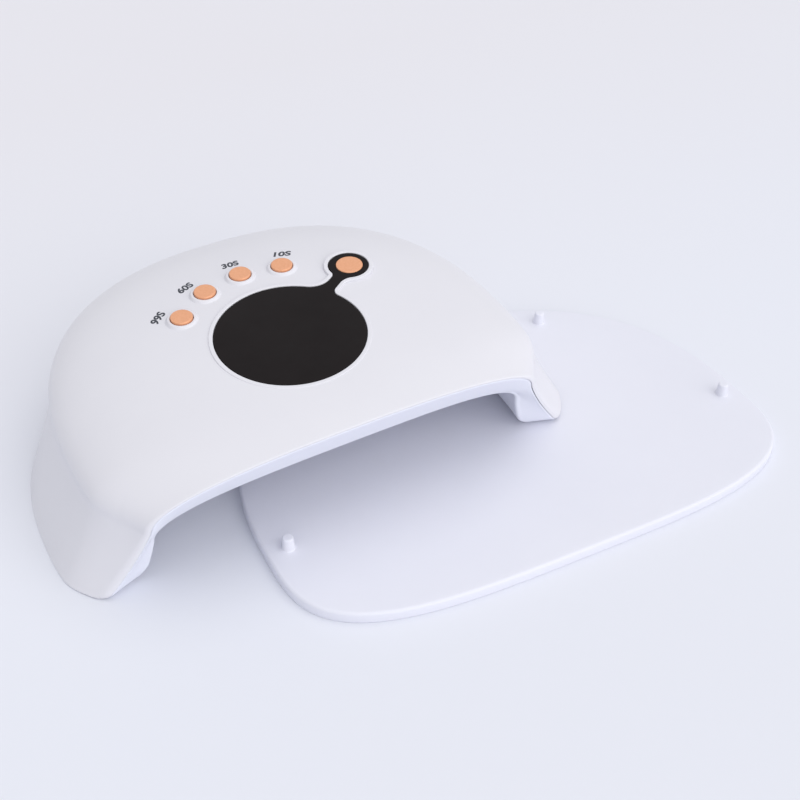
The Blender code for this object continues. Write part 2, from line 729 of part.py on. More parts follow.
def side_led_places():
    """Distance back and wall distance of each lamp in a side wall, at the waist."""
    places = []
    for i in range(SIDE_LED_COUNT):
        y = CENTRE_LOW_Y + (i - (SIDE_LED_COUNT - 1) / 2) * SIDE_LED_PITCH
        reach = CAVITY_WAIST_BACK if y > CENTRE_LOW_Y else CAVITY_WAIST_FRONT
        share = abs((y - CENTRE_LOW_Y) / reach) ** OUTLINE_POWER_SHARE
        places.append((y, CAVITY_WAIST_HALF_WIDTH * (1 - share) ** (1 / OUTLINE_POWER_SHARE)))
    return places


def sideways(shell, side, y, z):
    """Turn a body that was built upwards so that it points out to one side."""
    return move_points(shell, lambda along, across, up: (side * up, y - side * across, z + along))


def wall_holes():
    radius = LED_RADIUS + GAP
    holes = []
    for side in (-1, 1):
        for y, wall in side_led_places():
            body = turned([(radius, wall - OVERRUN), (radius, side_board_face() + OVERRUN)], SMALL_SIDES)
            holes.append(sideways(body, side, y, CAVITY_WAIST_HEIGHT))
    return join_shells(holes)


# Window, display and buttons

def build_display_lens(deck, mat):
    bottom = WINDOW_RISE - WINDOW_THICKNESS
    shell = loft_shell([window_ring(0.0, bottom), window_ring(0.0, WINDOW_RISE)])
    lens = make_object("display_lens", *shell, mat, deck)
    radius = POWER_RADIUS + GAP
    hole = turned([(radius, bottom - OVERRUN), (radius, WINDOW_RISE + OVERRUN)], ROUND_SIDES,
                  orbit_place(POWER_ORBIT, POWER_BEARING_DEG_SHARE))
    combine(lens, "lens_button_hole", hole, deck, 'DIFFERENCE')


def build_display_module(deck, mat):
    half = (MODULE_WIDTH / 2, MODULE_DEPTH / 2)
    make_object("display_module", *box_shell((-half[0], -half[1], MODULE_TOP - MODULE_HEIGHT),
                                             (half[0], half[1], MODULE_TOP)), mat, deck)


def button_cap(radius):
    """A flat cap with a bevelled rim on a narrower stem, from its own origin."""
    top = CAP_RISE
    waist = -WINDOW_THICKNESS - GAP
    foot = SWITCH_TOP + PLUNGER_RISE + GAP
    return turned([(STEM_RADIUS, foot), (STEM_RADIUS, waist), (radius, waist), (radius, top - CAP_BEVEL),
                   (radius - CAP_BEVEL, top)], ROUND_SIDES)


def plunger():
    """The moving pin of a switch, from its pocket up to the button's stem."""
    foot = SWITCH_TOP - PLUNGER_POCKET + BUTTON_TRAVEL + GAP
    return turned([(PLUNGER_RADIUS, foot), (PLUNGER_RADIUS, SWITCH_TOP + PLUNGER_RISE)], SMALL_SIDES)


def switch_body(place):
    """A square housing with a round pocket for its plunger."""
    x, y = place
    corners, pocket = [], []
    for i in range(SWITCH_SIDES):
        turn = 2 * math.pi * (i + 0.5) / SWITCH_SIDES
        side, ahead = math.cos(turn), math.sin(turn)
        reach = SWITCH_SIDE / 2 / max(abs(side), abs(ahead))
        corners.append((x + reach * side, y + reach * ahead))
        pocket.append((x + (PLUNGER_RADIUS + GAP) * side, y + (PLUNGER_RADIUS + GAP) * ahead))
    levels = [(corners, BOARD_TOP + GAP), (corners, SWITCH_TOP), (pocket, SWITCH_TOP),
              (pocket, SWITCH_TOP - PLUNGER_POCKET)]
    return loft_shell([[(*point, z) for point in outline] for outline, z in levels])


def build_buttons(deck, cap_mat, switch_mat, plunger_mat):
    for name, place, radius in button_table():
        cap = make_object(name, *button_cap(radius), cap_mat, deck)
        cap.location = (*place, 0.0)
        pin = make_object(name.replace("button", "plunger"), *plunger(), plunger_mat, deck)
        pin.location = (*place, 0.0)
        make_object(name.replace("button", "switch"), *switch_body(place), switch_mat, deck)


# Boards, lamps and wiring

def build_control_board(deck, board_mat, screw_mat):
    half = CONTROL_BOARD_WIDTH / 2
    shell = box_shell((-half, CONTROL_BOARD_FRONT, BOARD_BOTTOM),
                      (half, CONTROL_BOARD_FRONT + CONTROL_BOARD_DEPTH, BOARD_TOP))
    board = make_object("control_board", *shell, board_mat, deck)
    radius = BOARD_SCREW_RADIUS + GAP
    holes = join_shells([turned([(radius, BOARD_BOTTOM - OVERRUN), (radius, BOARD_TOP + OVERRUN)],
                                SMALL_SIDES, place) for place in board_screw_places()])
    combine(board, "board_screw_holes", holes, deck, 'DIFFERENCE')
    head_top = BOARD_BOTTOM - GAP
    head, shank = BOARD_SCREW_HEAD_RADIUS, BOARD_SCREW_RADIUS
    profile = [(head, head_top - BOARD_SCREW_HEAD_HEIGHT), (head, head_top), (shank, head_top),
               (shank, BOARD_BOTTOM + BOARD_SCREW_LENGTH)]
    for number, place in enumerate(board_screw_places(), 1):
        make_object(f"board_screw_{number}", *turned(profile, SMALL_SIDES, place), screw_mat, deck)


def build_casing_screws(lamp, mat):
    head_top = SCREW_POCKET_DEPTH - GAP
    profile = [(CASING_SCREW_HEAD_RADIUS, head_top - CASING_SCREW_HEAD_HEIGHT),
               (CASING_SCREW_HEAD_RADIUS, head_top), (CASING_SCREW_RADIUS, head_top),
               (CASING_SCREW_RADIUS, head_top - CASING_SCREW_HEAD_HEIGHT + CASING_SCREW_LENGTH)]
    for number, place in enumerate(casing_screw_places(), 1):
        make_object(f"casing_screw_{number}", *turned(profile, SMALL_SIDES, place), mat, lamp)


def build_ceiling_lamps(ceiling, board_mat, sensor_mat):
    """The lamp board over the ceiling with its soldered lamps, and the hand sensor."""
    half_width, half_depth = LED_BOARD_WIDTH / 2, LED_BOARD_DEPTH / 2
    slab = box_shell((-half_width, -half_depth, 0.0), (half_width, half_depth, BOARD_THICKNESS))
    board = make_object("led_board_top", *slab, board_mat, ceiling)
    bottom = -TRAY_WALL - GAP - LED_DEPTH
    lens = [(LED_RADIUS / 2, bottom), (LED_RADIUS, bottom + LED_DEPTH / 2), (LED_RADIUS, BOARD_THICKNESS / 2)]
    lamps = join_shells([turned(lens, SMALL_SIDES, place) for place in led_places()])
    combine(board, "leds_top", lamps, ceiling, 'UNION')
    for name, place in sensor_places().items():
        eye = turned([(SENSOR_RADIUS, -SENSOR_LENGTH), (SENSOR_RADIUS, -GAP)], SMALL_SIDES, place)
        make_object(name, *eye, sensor_mat, ceiling)


def build_side_lamps(lamp, board_mat):
    """A lamp board in each side wall, its soldered lamps reaching through the wall."""
    face = side_board_face()
    half_depth, half_height = SIDE_BOARD_DEPTH / 2, SIDE_BOARD_HEIGHT / 2
    for side, word in ((-1, "left"), (1, "right")):
        across = sorted((side * face, side * (face + BOARD_THICKNESS)))
        low = (across[0], CENTRE_LOW_Y - half_depth, CAVITY_WAIST_HEIGHT - half_height)
        high = (across[1], CENTRE_LOW_Y + half_depth, CAVITY_WAIST_HEIGHT + half_height)
        board = make_object(f"led_board_{word}", *box_shell(low, high), board_mat, lamp)
        bodies = []
        for y, wall in side_led_places():
            lens = [(LED_RADIUS / 2, wall - LED_DEPTH / 2), (LED_RADIUS, wall),
                    (LED_RADIUS, face + BOARD_THICKNESS / 2)]
            bodies.append(sideways(turned(lens, SMALL_SIDES), side, y, CAVITY_WAIST_HEIGHT))
        combine(board, f"leds_{word}", join_shells(bodies), lamp, 'UNION')


def build_dc_socket(lamp, mat, pin_mat):
    back = socket_back()
    front = back - SOCKET_DEPTH
    half = SOCKET_WIDTH / 2
    shell = box_shell((-half, front, SOCKET_CENTRE_Z - SOCKET_HEIGHT / 2),
                      (half, back, SOCKET_CENTRE_Z + SOCKET_HEIGHT / 2))
    socket = make_object("dc_socket", *shell, mat, lamp)
    mouth_ends = (front + SOCKET_WALL, back + OVERRUN)
    mouth = lay_back(turned([(SOCKET_MOUTH_RADIUS, end) for end in mouth_ends], ROUND_SIDES))
    combine(socket, "socket_mouth", mouth, lamp, 'DIFFERENCE')
    pin_ends = (front + SOCKET_WALL + GAP, back - SOCKET_PIN_RECESS)
    pin = lay_back(turned([(SOCKET_PIN_RADIUS, end) for end in pin_ends], SMALL_SIDES))
    make_object("dc_socket_pin", *pin, pin_mat, lamp)


def curve_through(points):
    """Smooth path through places: each stretch starts and ends along its neighbours."""
    ends = [points[0], *points, points[-1]]
    path = []
    for before, start, end, after in zip(ends, ends[1:], ends[2:], ends[3:]):
        for step in range(LEAD_STEPS):
            t = step / LEAD_STEPS
            path.append(tuple((2 * b + (c - a) * t + (2 * a - 5 * b + 4 * c - d) * t ** 2
                               + (3 * b - a - 3 * c + d) * t ** 3) / 2
                              for a, b, c, d in zip(before, start, end, after)))
    return [*path, points[-1]]


def build_wiring(lamp, deck, mat, ribbon_mat):
    """The lead from the socket up to the control board, and the ribbon between the boards."""
    board_back = CONTROL_BOARD_FRONT + CONTROL_BOARD_DEPTH + GAP
    tilt = math.atan(TOP_SLOPE_SHARE)
    board_middle = BOARD_BOTTOM + BOARD_THICKNESS / 2
    end_y = DECK_Y + board_back * math.cos(tilt) - board_middle * math.sin(tilt)
    end_z = DECK_HEIGHT + board_back * math.sin(tilt) + board_middle * math.cos(tilt)
    start_y = socket_back() - SOCKET_DEPTH / 2
    places = [(0.0, start_y, SOCKET_CENTRE_Z + SOCKET_HEIGHT / 2 + GAP), (0.0, start_y, LEAD_BEND_Z),
              (0.0, LEAD_TOP_Y, LEAD_TOP_Z), (0.0, end_y, end_z)]
    make_object("supply_lead", *tube(curve_through(places), LEAD_RADIUS, SMALL_SIDES), mat, lamp)
    foot = ceiling_rise() + BOARD_THICKNESS + 2 * GAP - DECK_HEIGHT
    ribbon = box_shell((RIBBON_X - RIBBON_WIDTH / 2, 0.0, foot),
                       (RIBBON_X + RIBBON_WIDTH / 2, RIBBON_THICKNESS, BOARD_BOTTOM - GAP))
    make_object("board_ribbon", *ribbon, ribbon_mat, deck)


def build_base_plate(mat):
    def outline(inset, z):
        points = []
        for i in range(PLATE_COLUMNS):
            turn = 2 * math.pi * i / PLATE_COLUMNS
            side, ahead = math.cos(turn), math.sin(turn)
            reach = (PLATE_BACK if ahead > 0 else PLATE_FRONT) - inset
            power = PLATE_BACK_POWER_SHARE if ahead > 0 else PLATE_FRONT_POWER_SHARE
            size = (abs(side) ** power + abs(ahead) ** power) ** (-1 / power)
            half = PLATE_HALF_WIDTH - inset
            points.append((half * side * size, PLATE_WIDEST_Y + reach * ahead * size, z))
        return points
    rings = [outline(0.0, 0.0)]
    for step in range(PLATE_EDGE_STEPS + 1):
        turn = math.pi / 2 * step / PLATE_EDGE_STEPS
        rings.append(outline(PLATE_EDGE_ROUND * (1 - math.cos(turn)),
                             PLATE_THICKNESS - PLATE_EDGE_ROUND * (1 - math.sin(turn))))
    plate = make_object("base_plate", *loft_shell(rings), mat)
    pegs = join_shells([turned([(PEG_BASE_RADIUS, PLATE_THICKNESS / 2), (PEG_BASE_RADIUS, PLATE_THICKNESS),
                                (PEG_TOP_RADIUS, PLATE_THICKNESS + PEG_HEIGHT)], ROUND_SIDES, place)
                        for place in peg_places()])
    combine(plate, "plate_pegs", pegs, None, 'UNION')


def peg_places():
    pairs = ((FRONT_PEG_X, FRONT_PEG_Y), (BACK_PEG_X, BACK_PEG_Y))
    return [(side * x, y) for x, y in pairs for side in (-1, 1)]


def ceiling_rise():
    """Height of the lamp board's underside over the soles, at its middle."""
    return CEILING_TOP * slope_factor(LED_BOARD_MIDDLE_Y)


def lamp_lean():
    """The lean that lifts the right sole's inner edge clear of the plate."""
    return math.asin((PLATE_THICKNESS + GAP) / (RIM_HALF_WIDTH + SOLE_CONTACT_X))


def main():
    for obj in list(bpy.data.objects):
        bpy.data.objects.remove(obj, do_unlink=True)
    white = material("glossy_white_abs", (0.80, 0.80, 0.83), 0.22)
    tray_white = material("satin_white_abs", (0.76, 0.77, 0.82), 0.35)
    plate_white = material("matte_white_abs", (0.80, 0.80, 0.86), 0.5)
    window = material("smoked_window", (0.02, 0.018, 0.018), 0.12)
    copper = material("copper_cap", (0.80, 0.42, 0.25), 0.35, 0.6)
    dark = material("black_plastic", (0.03, 0.03, 0.03), 0.45)
    board = material("board_laminate", (0.02, 0.16, 0.09), 0.5)
    metal_board = material("board_aluminium", (0.78, 0.79, 0.80), 0.4, 0.8)
    steel = material("steel", (0.6, 0.6, 0.62), 0.3, 1.0)
    lean = lamp_lean()
    lamp = make_empty("lamp_frame", (LAMP_X, LAMP_Y, RIM_HALF_WIDTH * math.sin(lean)),
                      (0.0, -lean, math.radians(LAMP_TURN_DEG_SHARE)))
    deck = make_empty("deck_frame", (0.0, DECK_Y, DECK_HEIGHT), (math.atan(TOP_SLOPE_SHARE), 0.0, 0.0), lamp)
    ceiling_slope = TOP_SLOPE_SHARE * CAVITY_HEIGHT / CASING_HEIGHT
    ceiling = make_empty("ceiling_frame", (0.0, LED_BOARD_MIDDLE_Y, ceiling_rise()),
                         (math.atan(ceiling_slope), 0.0, 0.0), lamp)
    build_top_cover(lamp, deck, white)
    build_inner_tray(lamp, ceiling, tray_white)
    build_display_lens(deck, window)
    build_display_module(deck, dark)
    build_buttons(deck, copper, dark, dark)
    build_control_board(deck, board, steel)
    build_casing_screws(lamp, steel)
    build_ceiling_lamps(ceiling, metal_board, dark)
    build_side_lamps(lamp, metal_board)
    build_dc_socket(lamp, dark, steel)
    build_wiring(lamp, deck, dark, tray_white)
    build_base_plate(plate_white)


main()
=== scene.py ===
"""Looks of a low arched nail lamp that stands with one leg on its loose base plate.

Metres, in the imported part's frame: +Z up, the origin in the middle of the plate's
underside. The casings are drawn again as fine surfaces from the part's own form, which
is worked out in the lamp's frame (x right, y back, z up from the soles) or on the deck,
the sloping plane of the display window and the buttons.
"""
import json
import math

import bpy
import numpy as np
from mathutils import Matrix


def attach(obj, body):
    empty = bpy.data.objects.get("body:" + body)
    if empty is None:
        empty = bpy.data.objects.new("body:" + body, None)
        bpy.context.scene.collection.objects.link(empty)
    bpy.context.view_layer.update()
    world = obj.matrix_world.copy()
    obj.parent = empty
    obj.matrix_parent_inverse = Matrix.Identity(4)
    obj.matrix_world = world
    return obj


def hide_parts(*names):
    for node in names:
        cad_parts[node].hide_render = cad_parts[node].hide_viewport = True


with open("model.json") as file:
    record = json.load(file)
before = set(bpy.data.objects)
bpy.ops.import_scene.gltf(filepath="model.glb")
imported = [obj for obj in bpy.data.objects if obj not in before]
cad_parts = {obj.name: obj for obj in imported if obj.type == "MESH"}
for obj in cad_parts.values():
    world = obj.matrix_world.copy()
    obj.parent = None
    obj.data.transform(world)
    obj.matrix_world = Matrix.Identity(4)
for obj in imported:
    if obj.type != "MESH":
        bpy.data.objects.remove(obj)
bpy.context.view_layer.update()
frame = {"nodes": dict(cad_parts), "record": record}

# Casing form, as in the part, but rim and hand space reach further forward at the legs
RIM = (0.125, 0.1139, 0.100)
WAIST = (0.1065, 0.1124, 0.100)
WAIST_HEIGHT = 0.0375
CASING_HEIGHT = 0.061
CENTRE_LOW_Y = 0.044
CENTRE_TOP_Y = 0.047
FRONT_FOOT_Y = 0.0033
OUTLINE_POWER = 2.4
CASING_ROUND = 2.7
CASING_RISE = 2.3
FLARE_POWER = 1.2
TOP_SLOPE = 0.07
FRONT_LEAN = 0.23
COVER_WALL = 0.0022
TRAY_WALL = 0.002
CAVITY_RIM = (0.0945, 0.094, 0.118)
CAVITY_WAIST = (0.0895, 0.089, 0.118)
CAVITY_WAIST_HEIGHT = 0.022
CAVITY_HEIGHT = 0.040
CAVITY_ROUND = 4.0
CAVITY_RISE = 2.4

# Finer shapes of the casings' edges. The cover's front edge has a small round over the
# arch and a large one down the legs.
COVER_EDGE_ROUND = 0.0006
LEG_EDGE_ROUND = 0.0022
LEG_START_X = 0.075
LEG_END_X = 0.106
LEG_BACK_Y = 0.030
LEG_FRONT_Y = 0.006
COVER_EDGE_WALL = 0.0005
COVER_EDGE_DEPTH = 0.003
SEAM_WIDTH = 0.0004
BAND_EDGE_ROUND = 0.0004
LIP_ROUND = 0.0018
FOOT_CORNER_ROUND = 0.002

# The land between lip and seam slopes back, a little less at the feet than over the arch
ARCH_BEVEL = 0.005
FOOT_BEVEL = 0.0042
FOOT_BEVEL_HEIGHT = 0.020

# The hand space's walls widen like a trumpet at the floor, most at the front feet
TRUMPET_BACK = 0.005
TRUMPET_FRONT = 0.0085
TRUMPET_TURN = (-0.35, 0.3)

# The casing grows narrower towards its front face by this share
NARROWING = 0.066
NARROW_BACK_Y = 0.022
NARROW_FRONT_Y = -0.006

# Deck, window and buttons, as in the part. The neck's fillets are, on its left and on
# its right, the one at the disc and the one at the ring.
DECK_Y = 0.053
DECK_HEIGHT = 0.0605
WINDOW_RADIUS = 0.0335
WINDOW_THICKNESS = 0.002
WINDOW_RISE = 0.0002
WINDOW_SHIFT = 0.0006
RING_RADIUS = 0.0094
RING_ORBIT = 0.0553
RING_BEARING = 54.2
NECK_WIDTH = 0.0052
LEFT_FILLETS = (0.0105, 0.003)
RIGHT_FILLETS = (0.0042, 0.0078)
SURROUND_WIDTH = 0.0022
SURROUND_RISE = 0.00045
SURROUND_DEPTH = 0.0045
TIMER_RADIUS = 0.005
POWER_RADIUS = 0.0063
TIMER_RISE = 0.0011
POWER_RISE = 0.00045
DISH_WIDTH = 0.0019
DISH_RISE = 0.0002
DISH_FLANK = 0.0016
TIMER_ORBIT = 0.0503
POWER_ORBIT = 0.0561
POWER_BEARING = 54.0
TIMERS = {"10s": 20.0, "30s": -3.0, "60s": -26.0, "99s": -49.0}
STEM_RADIUS = 0.0024
STEM_FOOT = -0.0028

# Printed marks: the orbit, the bearing and the turn of each, and their size
LABEL_PLACES = {"10S": (0.0631, 21.0, 20.0), "30S": (0.0630, -2.4, 2.0),
                "60S": (0.0623, -26.6, -23.0), "99S": (0.0617, -48.9, -43.0)}
LABEL_WIDTH = 0.0086
LABEL_HEIGHT = 0.0044
INK_RISE = 0.00006
INK_DEPTH = 0.00006

# Lamps, screws and socket, as in the part
BOARD_THICKNESS = 0.0016
LED_BOARD_SIZE = (0.124, 0.084)
LED_BOARD_Y = 0.058
LED_RADIUS = 0.0022
LED_DEPTH = 0.0030
LED_PITCH = (0.0235, 0.030)
LED_COUNTS = (5, 3)
SIDE_BOARD_SIZE = (0.060, 0.010)
SIDE_LED_PITCH = 0.020
SIDE_LED_COUNT = 3
SENSOR_RADIUS = 0.0015
SENSOR_SPACING = 0.012
SCREW_PLACES = ((-0.1085, 0.070), (0.1085, 0.070), (-0.036, 0.1465), (0.036, 0.1465))
SCREW_HEAD_RADIUS = 0.003
SCREW_RADIUS = 0.0015
SCREW_POCKET_DEPTH = 0.004
SCREW_POCKET_WALL = 0.0018
SOCKET_HEIGHT = 0.0145
SOCKET_MOUTH_RADIUS = 0.0032
SOCKET_HOLE_START = 0.130
SOCKET_HOLE_END = 0.162

# Base plate, as in the part
PLATE_HALF_WIDTH = 0.1245
PLATE_FRONT = 0.061
PLATE_BACK = 0.113
PLATE_WIDEST_Y = -0.033
PLATE_THICKNESS = 0.0053
PLATE_EDGE_ROUND = 0.0014
PLATE_FRONT_POWER = 3.6
PLATE_BACK_POWER = 2.4
PEG_BASE_RADIUS = 0.0029
PEG_TOP_RADIUS = 0.0024
PEG_HEIGHT = 0.0062
PEG_PLACES = ((-0.1145, -0.0365), (0.1145, -0.0365), (-0.0669, 0.0554), (0.0669, 0.0554))

# How the lamp stands over the plate
LAMP_X = -0.0793
LAMP_Y = -0.0252
LAMP_TURN = math.radians(2.1)
SOLE_CONTACT_X = 0.084
GAP = 0.0003
LAMP_LEAN = math.asin((PLATE_THICKNESS + GAP) / (RIM[0] + SOLE_CONTACT_X))

# How finely the surfaces are drawn
BACK_COLUMNS = 208
FRONT_COLUMNS = 152
ROUND_SIDES = 96
ARC_STEPS = 8
OVERRUN = 0.002
SHARP_ANGLE = math.radians(32)


# Frames of the lamp, its deck and its ceiling

def turn_about(axis, angle):
    """Rotation matrix about one of the three axes, by an angle in radians."""
    cos, sin = math.cos(angle), math.sin(angle)
    after, last = (axis + 1) % 3, (axis + 2) % 3
    matrix = np.eye(3)
    matrix[after, after] = matrix[last, last] = cos
    matrix[last, after], matrix[after, last] = sin, -sin
    return matrix


LAMP_TURNED = turn_about(2, LAMP_TURN) @ turn_about(1, -LAMP_LEAN)
LAMP_PLACE = np.array([LAMP_X, LAMP_Y, RIM[0] * math.sin(LAMP_LEAN)])
DECK_TILT = math.atan(TOP_SLOPE)
CEILING_TILT = math.atan(TOP_SLOPE * CAVITY_HEIGHT / CASING_HEIGHT)


def slope_factor(y):
    """The whole form rises towards the back by this factor."""
    return 1 + TOP_SLOPE * (y - DECK_Y) / CASING_HEIGHT


CEILING_RISE = (CAVITY_HEIGHT + TRAY_WALL + GAP) * slope_factor(LED_BOARD_Y)


def from_lamp(points):
    return points @ LAMP_TURNED.T + LAMP_PLACE


def from_deck(points):
    return from_lamp(points @ turn_about(0, DECK_TILT).T + (0.0, DECK_Y, DECK_HEIGHT))


def from_ceiling(points):
    return from_lamp(points @ turn_about(0, CEILING_TILT).T + (0.0, LED_BOARD_Y, CEILING_RISE))


# Bodies as points with faces of four and of three corners

def ring_body(rings, ends="point"):
    """Rings of points, each joined to the next. The ends close on their middle point,
    or the last ring joins the first when ends is "loop"."""
    rows, columns, _ = rings.shape
    index = np.arange(rows * columns).reshape(rows, columns)
    if ends == "loop":
        index = np.concatenate([index, index[:1]])
    after = np.roll(index, -1, axis=1)
    quads = np.stack([index[:-1], after[:-1], after[1:], index[1:]], axis=-1).reshape(-1, 4)
    points = rings.reshape(-1, 3)
    if ends == "loop":
        return facing_out(points, quads, np.zeros((0, 3), int))
    points = np.concatenate([points, [rings[0].mean(axis=0), rings[-1].mean(axis=0)]])
    first, last = np.full(columns, rows * columns), np.full(columns, rows * columns + 1)
    triangles = np.concatenate([np.stack([after[0], index[0], first], axis=-1),
                                np.stack([index[-1], after[-1], last], axis=-1)])
    return facing_out(points, quads, triangles)


def facing_out(points, quads, triangles):
    """The body with its faces turned outwards: its signed volume is above 0."""
    corners = np.concatenate([quads[:, [0, 1, 2]], quads[:, [0, 2, 3]], triangles])
    a, b, c = points[corners[:, 0]], points[corners[:, 1]], points[corners[:, 2]]
    if np.sum(a * np.cross(b, c)) < 0:
        quads, triangles = quads[:, ::-1], triangles[:, ::-1]
    return points, quads, triangles


def joined(bodies):
    """Several bodies as one."""
    starts = np.cumsum([0] + [len(points) for points, _, _ in bodies])
    return (np.concatenate([body[0] for body in bodies]),
            np.concatenate([body[1] + start for body, start in zip(bodies, starts)]),
            np.concatenate([body[2] + start for body, start in zip(bodies, starts)]))


def placed(body, place):
    """A body sent into another frame."""
    return facing_out(place(body[0]), body[1], body[2])


def turned_body(profile, centre=(0.0, 0.0), sides=ROUND_SIDES):
    """A profile of (radius, height) pairs turned about an upright axis."""
    radius, height = np.array(profile, float).T
    angle = np.linspace(0, 2 * math.pi, sides, endpoint=False)
    rings = np.stack([centre[0] + np.outer(radius, np.cos(angle)),
                      centre[1] + np.outer(radius, np.sin(angle)),
                      np.repeat(height[:, None], sides, axis=1)], axis=-1)
    return ring_body(rings)


def quarter_round(start, corner, end, steps=ARC_STEPS):
    """Pairs along a quarter of an ellipse that leaves start and reaches end along the
    two sides of a square corner."""
    start, corner, end = (np.array(pair, float) for pair in (start, corner, end))
    turn = np.linspace(0, math.pi / 2, steps + 1)[:, None]
    return (start + (corner - start) * np.sin(turn) + (end - corner) * (1 - np.cos(turn))).tolist()


def slab_body(half_width, half_depth, low, high, corner, bevel):
    """An upright slab with round corners in plan and bevelled edges: rings of a rounded
    rectangle, drawn in by the bevel at the ends."""
    angle = np.linspace(0, 2 * math.pi, ROUND_SIDES, endpoint=False)
    across = np.sign(np.cos(angle)) * (half_width - corner)
    along = np.sign(np.sin(angle)) * (half_depth - corner)
    rings = [np.stack([across + (corner - inset) * np.cos(angle), along + (corner - inset) * np.sin(angle),
                       np.full_like(angle, height)], axis=-1)
             for inset, height in ((bevel, low), (0, low + bevel), (0, high - bevel), (bevel, high))]
    return ring_body(np.stack(rings))


def make_piece(name, body, finish, rides_on, stands_for=()):
    """A piece of the lamp from a body whose points are already in the part's frame."""
    points, quads, triangles = body
    mesh = bpy.data.meshes.new(name)
    mesh.from_pydata(points.tolist(), [], quads.tolist() + triangles.tolist())
    piece = bpy.data.objects.new(name, mesh)
    bpy.context.scene.collection.objects.link(piece)
    mesh.materials.append(finish)
    smooth(mesh)
    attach(piece, rides_on)
    if stands_for:
        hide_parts(*stands_for)
    return piece


def smooth(mesh):
    mesh.shade_smooth()
    mesh.set_sharp_from_angle(angle=SHARP_ANGLE)


def combine(piece, body, operation):
    """Add or cut a body on a piece, and keep the result as the piece's own mesh."""
    mesh = bpy.data.meshes.new("tool")
    mesh.from_pydata(body[0].tolist(), [], body[1].tolist() + body[2].tolist())
    tool = bpy.data.objects.new("tool", mesh)
    bpy.context.scene.collection.objects.link(tool)
    modifier = piece.modifiers.new("tool", 'BOOLEAN')
    modifier.operation, modifier.solver, modifier.object = operation, 'EXACT', tool
    bpy.context.view_layer.update()
    evaluated = piece.evaluated_get(bpy.context.evaluated_depsgraph_get())
    result = bpy.data.meshes.new_from_object(evaluated)
    piece.modifiers.clear()
    piece.data = result
    bpy.data.objects.remove(tool)
    smooth(result)


# Casing and cavity forms

def eased(value, low, high):
    """0 up to the low value, 1 from the high one on, and a smooth step in between."""
    share = np.clip((value - low) / (high - low), 0, 1)
    return share * share * (3 - 2 * share)


def casing_form(inset):
    """The casing's outer form, drawn in by an inset, which may differ by column."""
    return {"rim": [size - inset for size in RIM], "waist": [size - inset for size in WAIST],
            "waist_height": WAIST_HEIGHT, "height": CASING_HEIGHT - inset,
            "round": CASING_ROUND, "rise": CASING_RISE, "trumpet": False, "narrowing": NARROWING}


def cavity_form(grow):
    """The hand space, grown outwards, whose walls widen where they meet the floor."""
    return {"rim": [size + grow for size in CAVITY_RIM], "waist": [size + grow for size in CAVITY_WAIST],
            "waist_height": CAVITY_WAIST_HEIGHT, "height": CAVITY_HEIGHT + grow,
            "round": CAVITY_ROUND, "rise": CAVITY_RISE, "trumpet": True, "narrowing": 0.0}


def form_points(form, angle, path):
    """A domed form as a function of an angle from the back and a path that is 0 at the
    apex, 1 at the waist and 2 at the floor. Above the waist the plan size is a power of
    the sine and the height a power of the cosine. Below it the plan flares out to the
    rim, and a quarter circle may widen it at the floor, with a radius that grows from
    the back to the front. The plan is a superellipse, narrowed towards the front."""
    dome = np.clip(path, 0, 1) * math.pi / 2
    skirt = np.clip(path - 1, 0, 1)
    across = np.sin(dome) ** (2 / form["round"])
    up = np.maximum(np.cos(dome), 0) ** (2 / form["rise"])
    waist_height = form["waist_height"]
    level = np.where(path < 1, waist_height + (form["height"] - waist_height) * up,
                     waist_height * (1 - skirt))
    flare = skirt ** FLARE_POWER
    side, ahead = np.sin(angle), np.cos(angle)
    widening = 0.0
    if form["trumpet"]:
        near = eased(-ahead, *TRUMPET_TURN)
        radius = TRUMPET_BACK + (TRUMPET_FRONT - TRUMPET_BACK) * near
        over = np.clip(1 - level / radius, 0, 1)
        widening = radius * (1 - np.sqrt(1 - over ** 2))
    half, back, front = [(waist + (rim - waist) * flare) * across + widening
                         for waist, rim in zip(form["waist"], form["rim"])]
    size = (np.abs(side) ** OUTLINE_POWER + np.abs(ahead) ** OUTLINE_POWER) ** (-1 / OUTLINE_POWER)
    centre = CENTRE_LOW_Y + (CENTRE_TOP_Y - CENTRE_LOW_Y) * level / form["height"]
    y = centre + np.where(ahead > 0, back, front) * ahead * size
    x = half * side * size * (1 - form["narrowing"] * eased(-y, -NARROW_BACK_Y, -NARROW_FRONT_Y))
    return np.stack([x, y, level * slope_factor(y)], axis=-1)


def past_faces(points, setback, floor):
    """How far points lie in front of the leaning front face and below the floor."""
    face = FRONT_FOOT_Y + setback - FRONT_LEAN * points[..., 2]
    return face - points[..., 1], floor - points[..., 2]


def path_end(form, angle, setback, floor):
    """How far each column runs before it meets the front face or the floor, whose
    common corner is rounded."""
    low = np.zeros_like(angle)
    high = np.full_like(angle, 2.0)
    for _ in range(36):
        middle = (low + high) / 2
        ahead, below = past_faces(form_points(form, angle, middle), setback, floor)
        round_off = np.hypot(np.maximum(ahead + FOOT_CORNER_ROUND, 0), np.maximum(below + FOOT_CORNER_ROUND, 0))
        depth = np.minimum(np.maximum(ahead, below) + FOOT_CORNER_ROUND, 0) + round_off - FOOT_CORNER_ROUND
        low = np.where(depth <= 0, middle, low)
        high = np.where(depth <= 0, high, middle)
    return (low + high) / 2


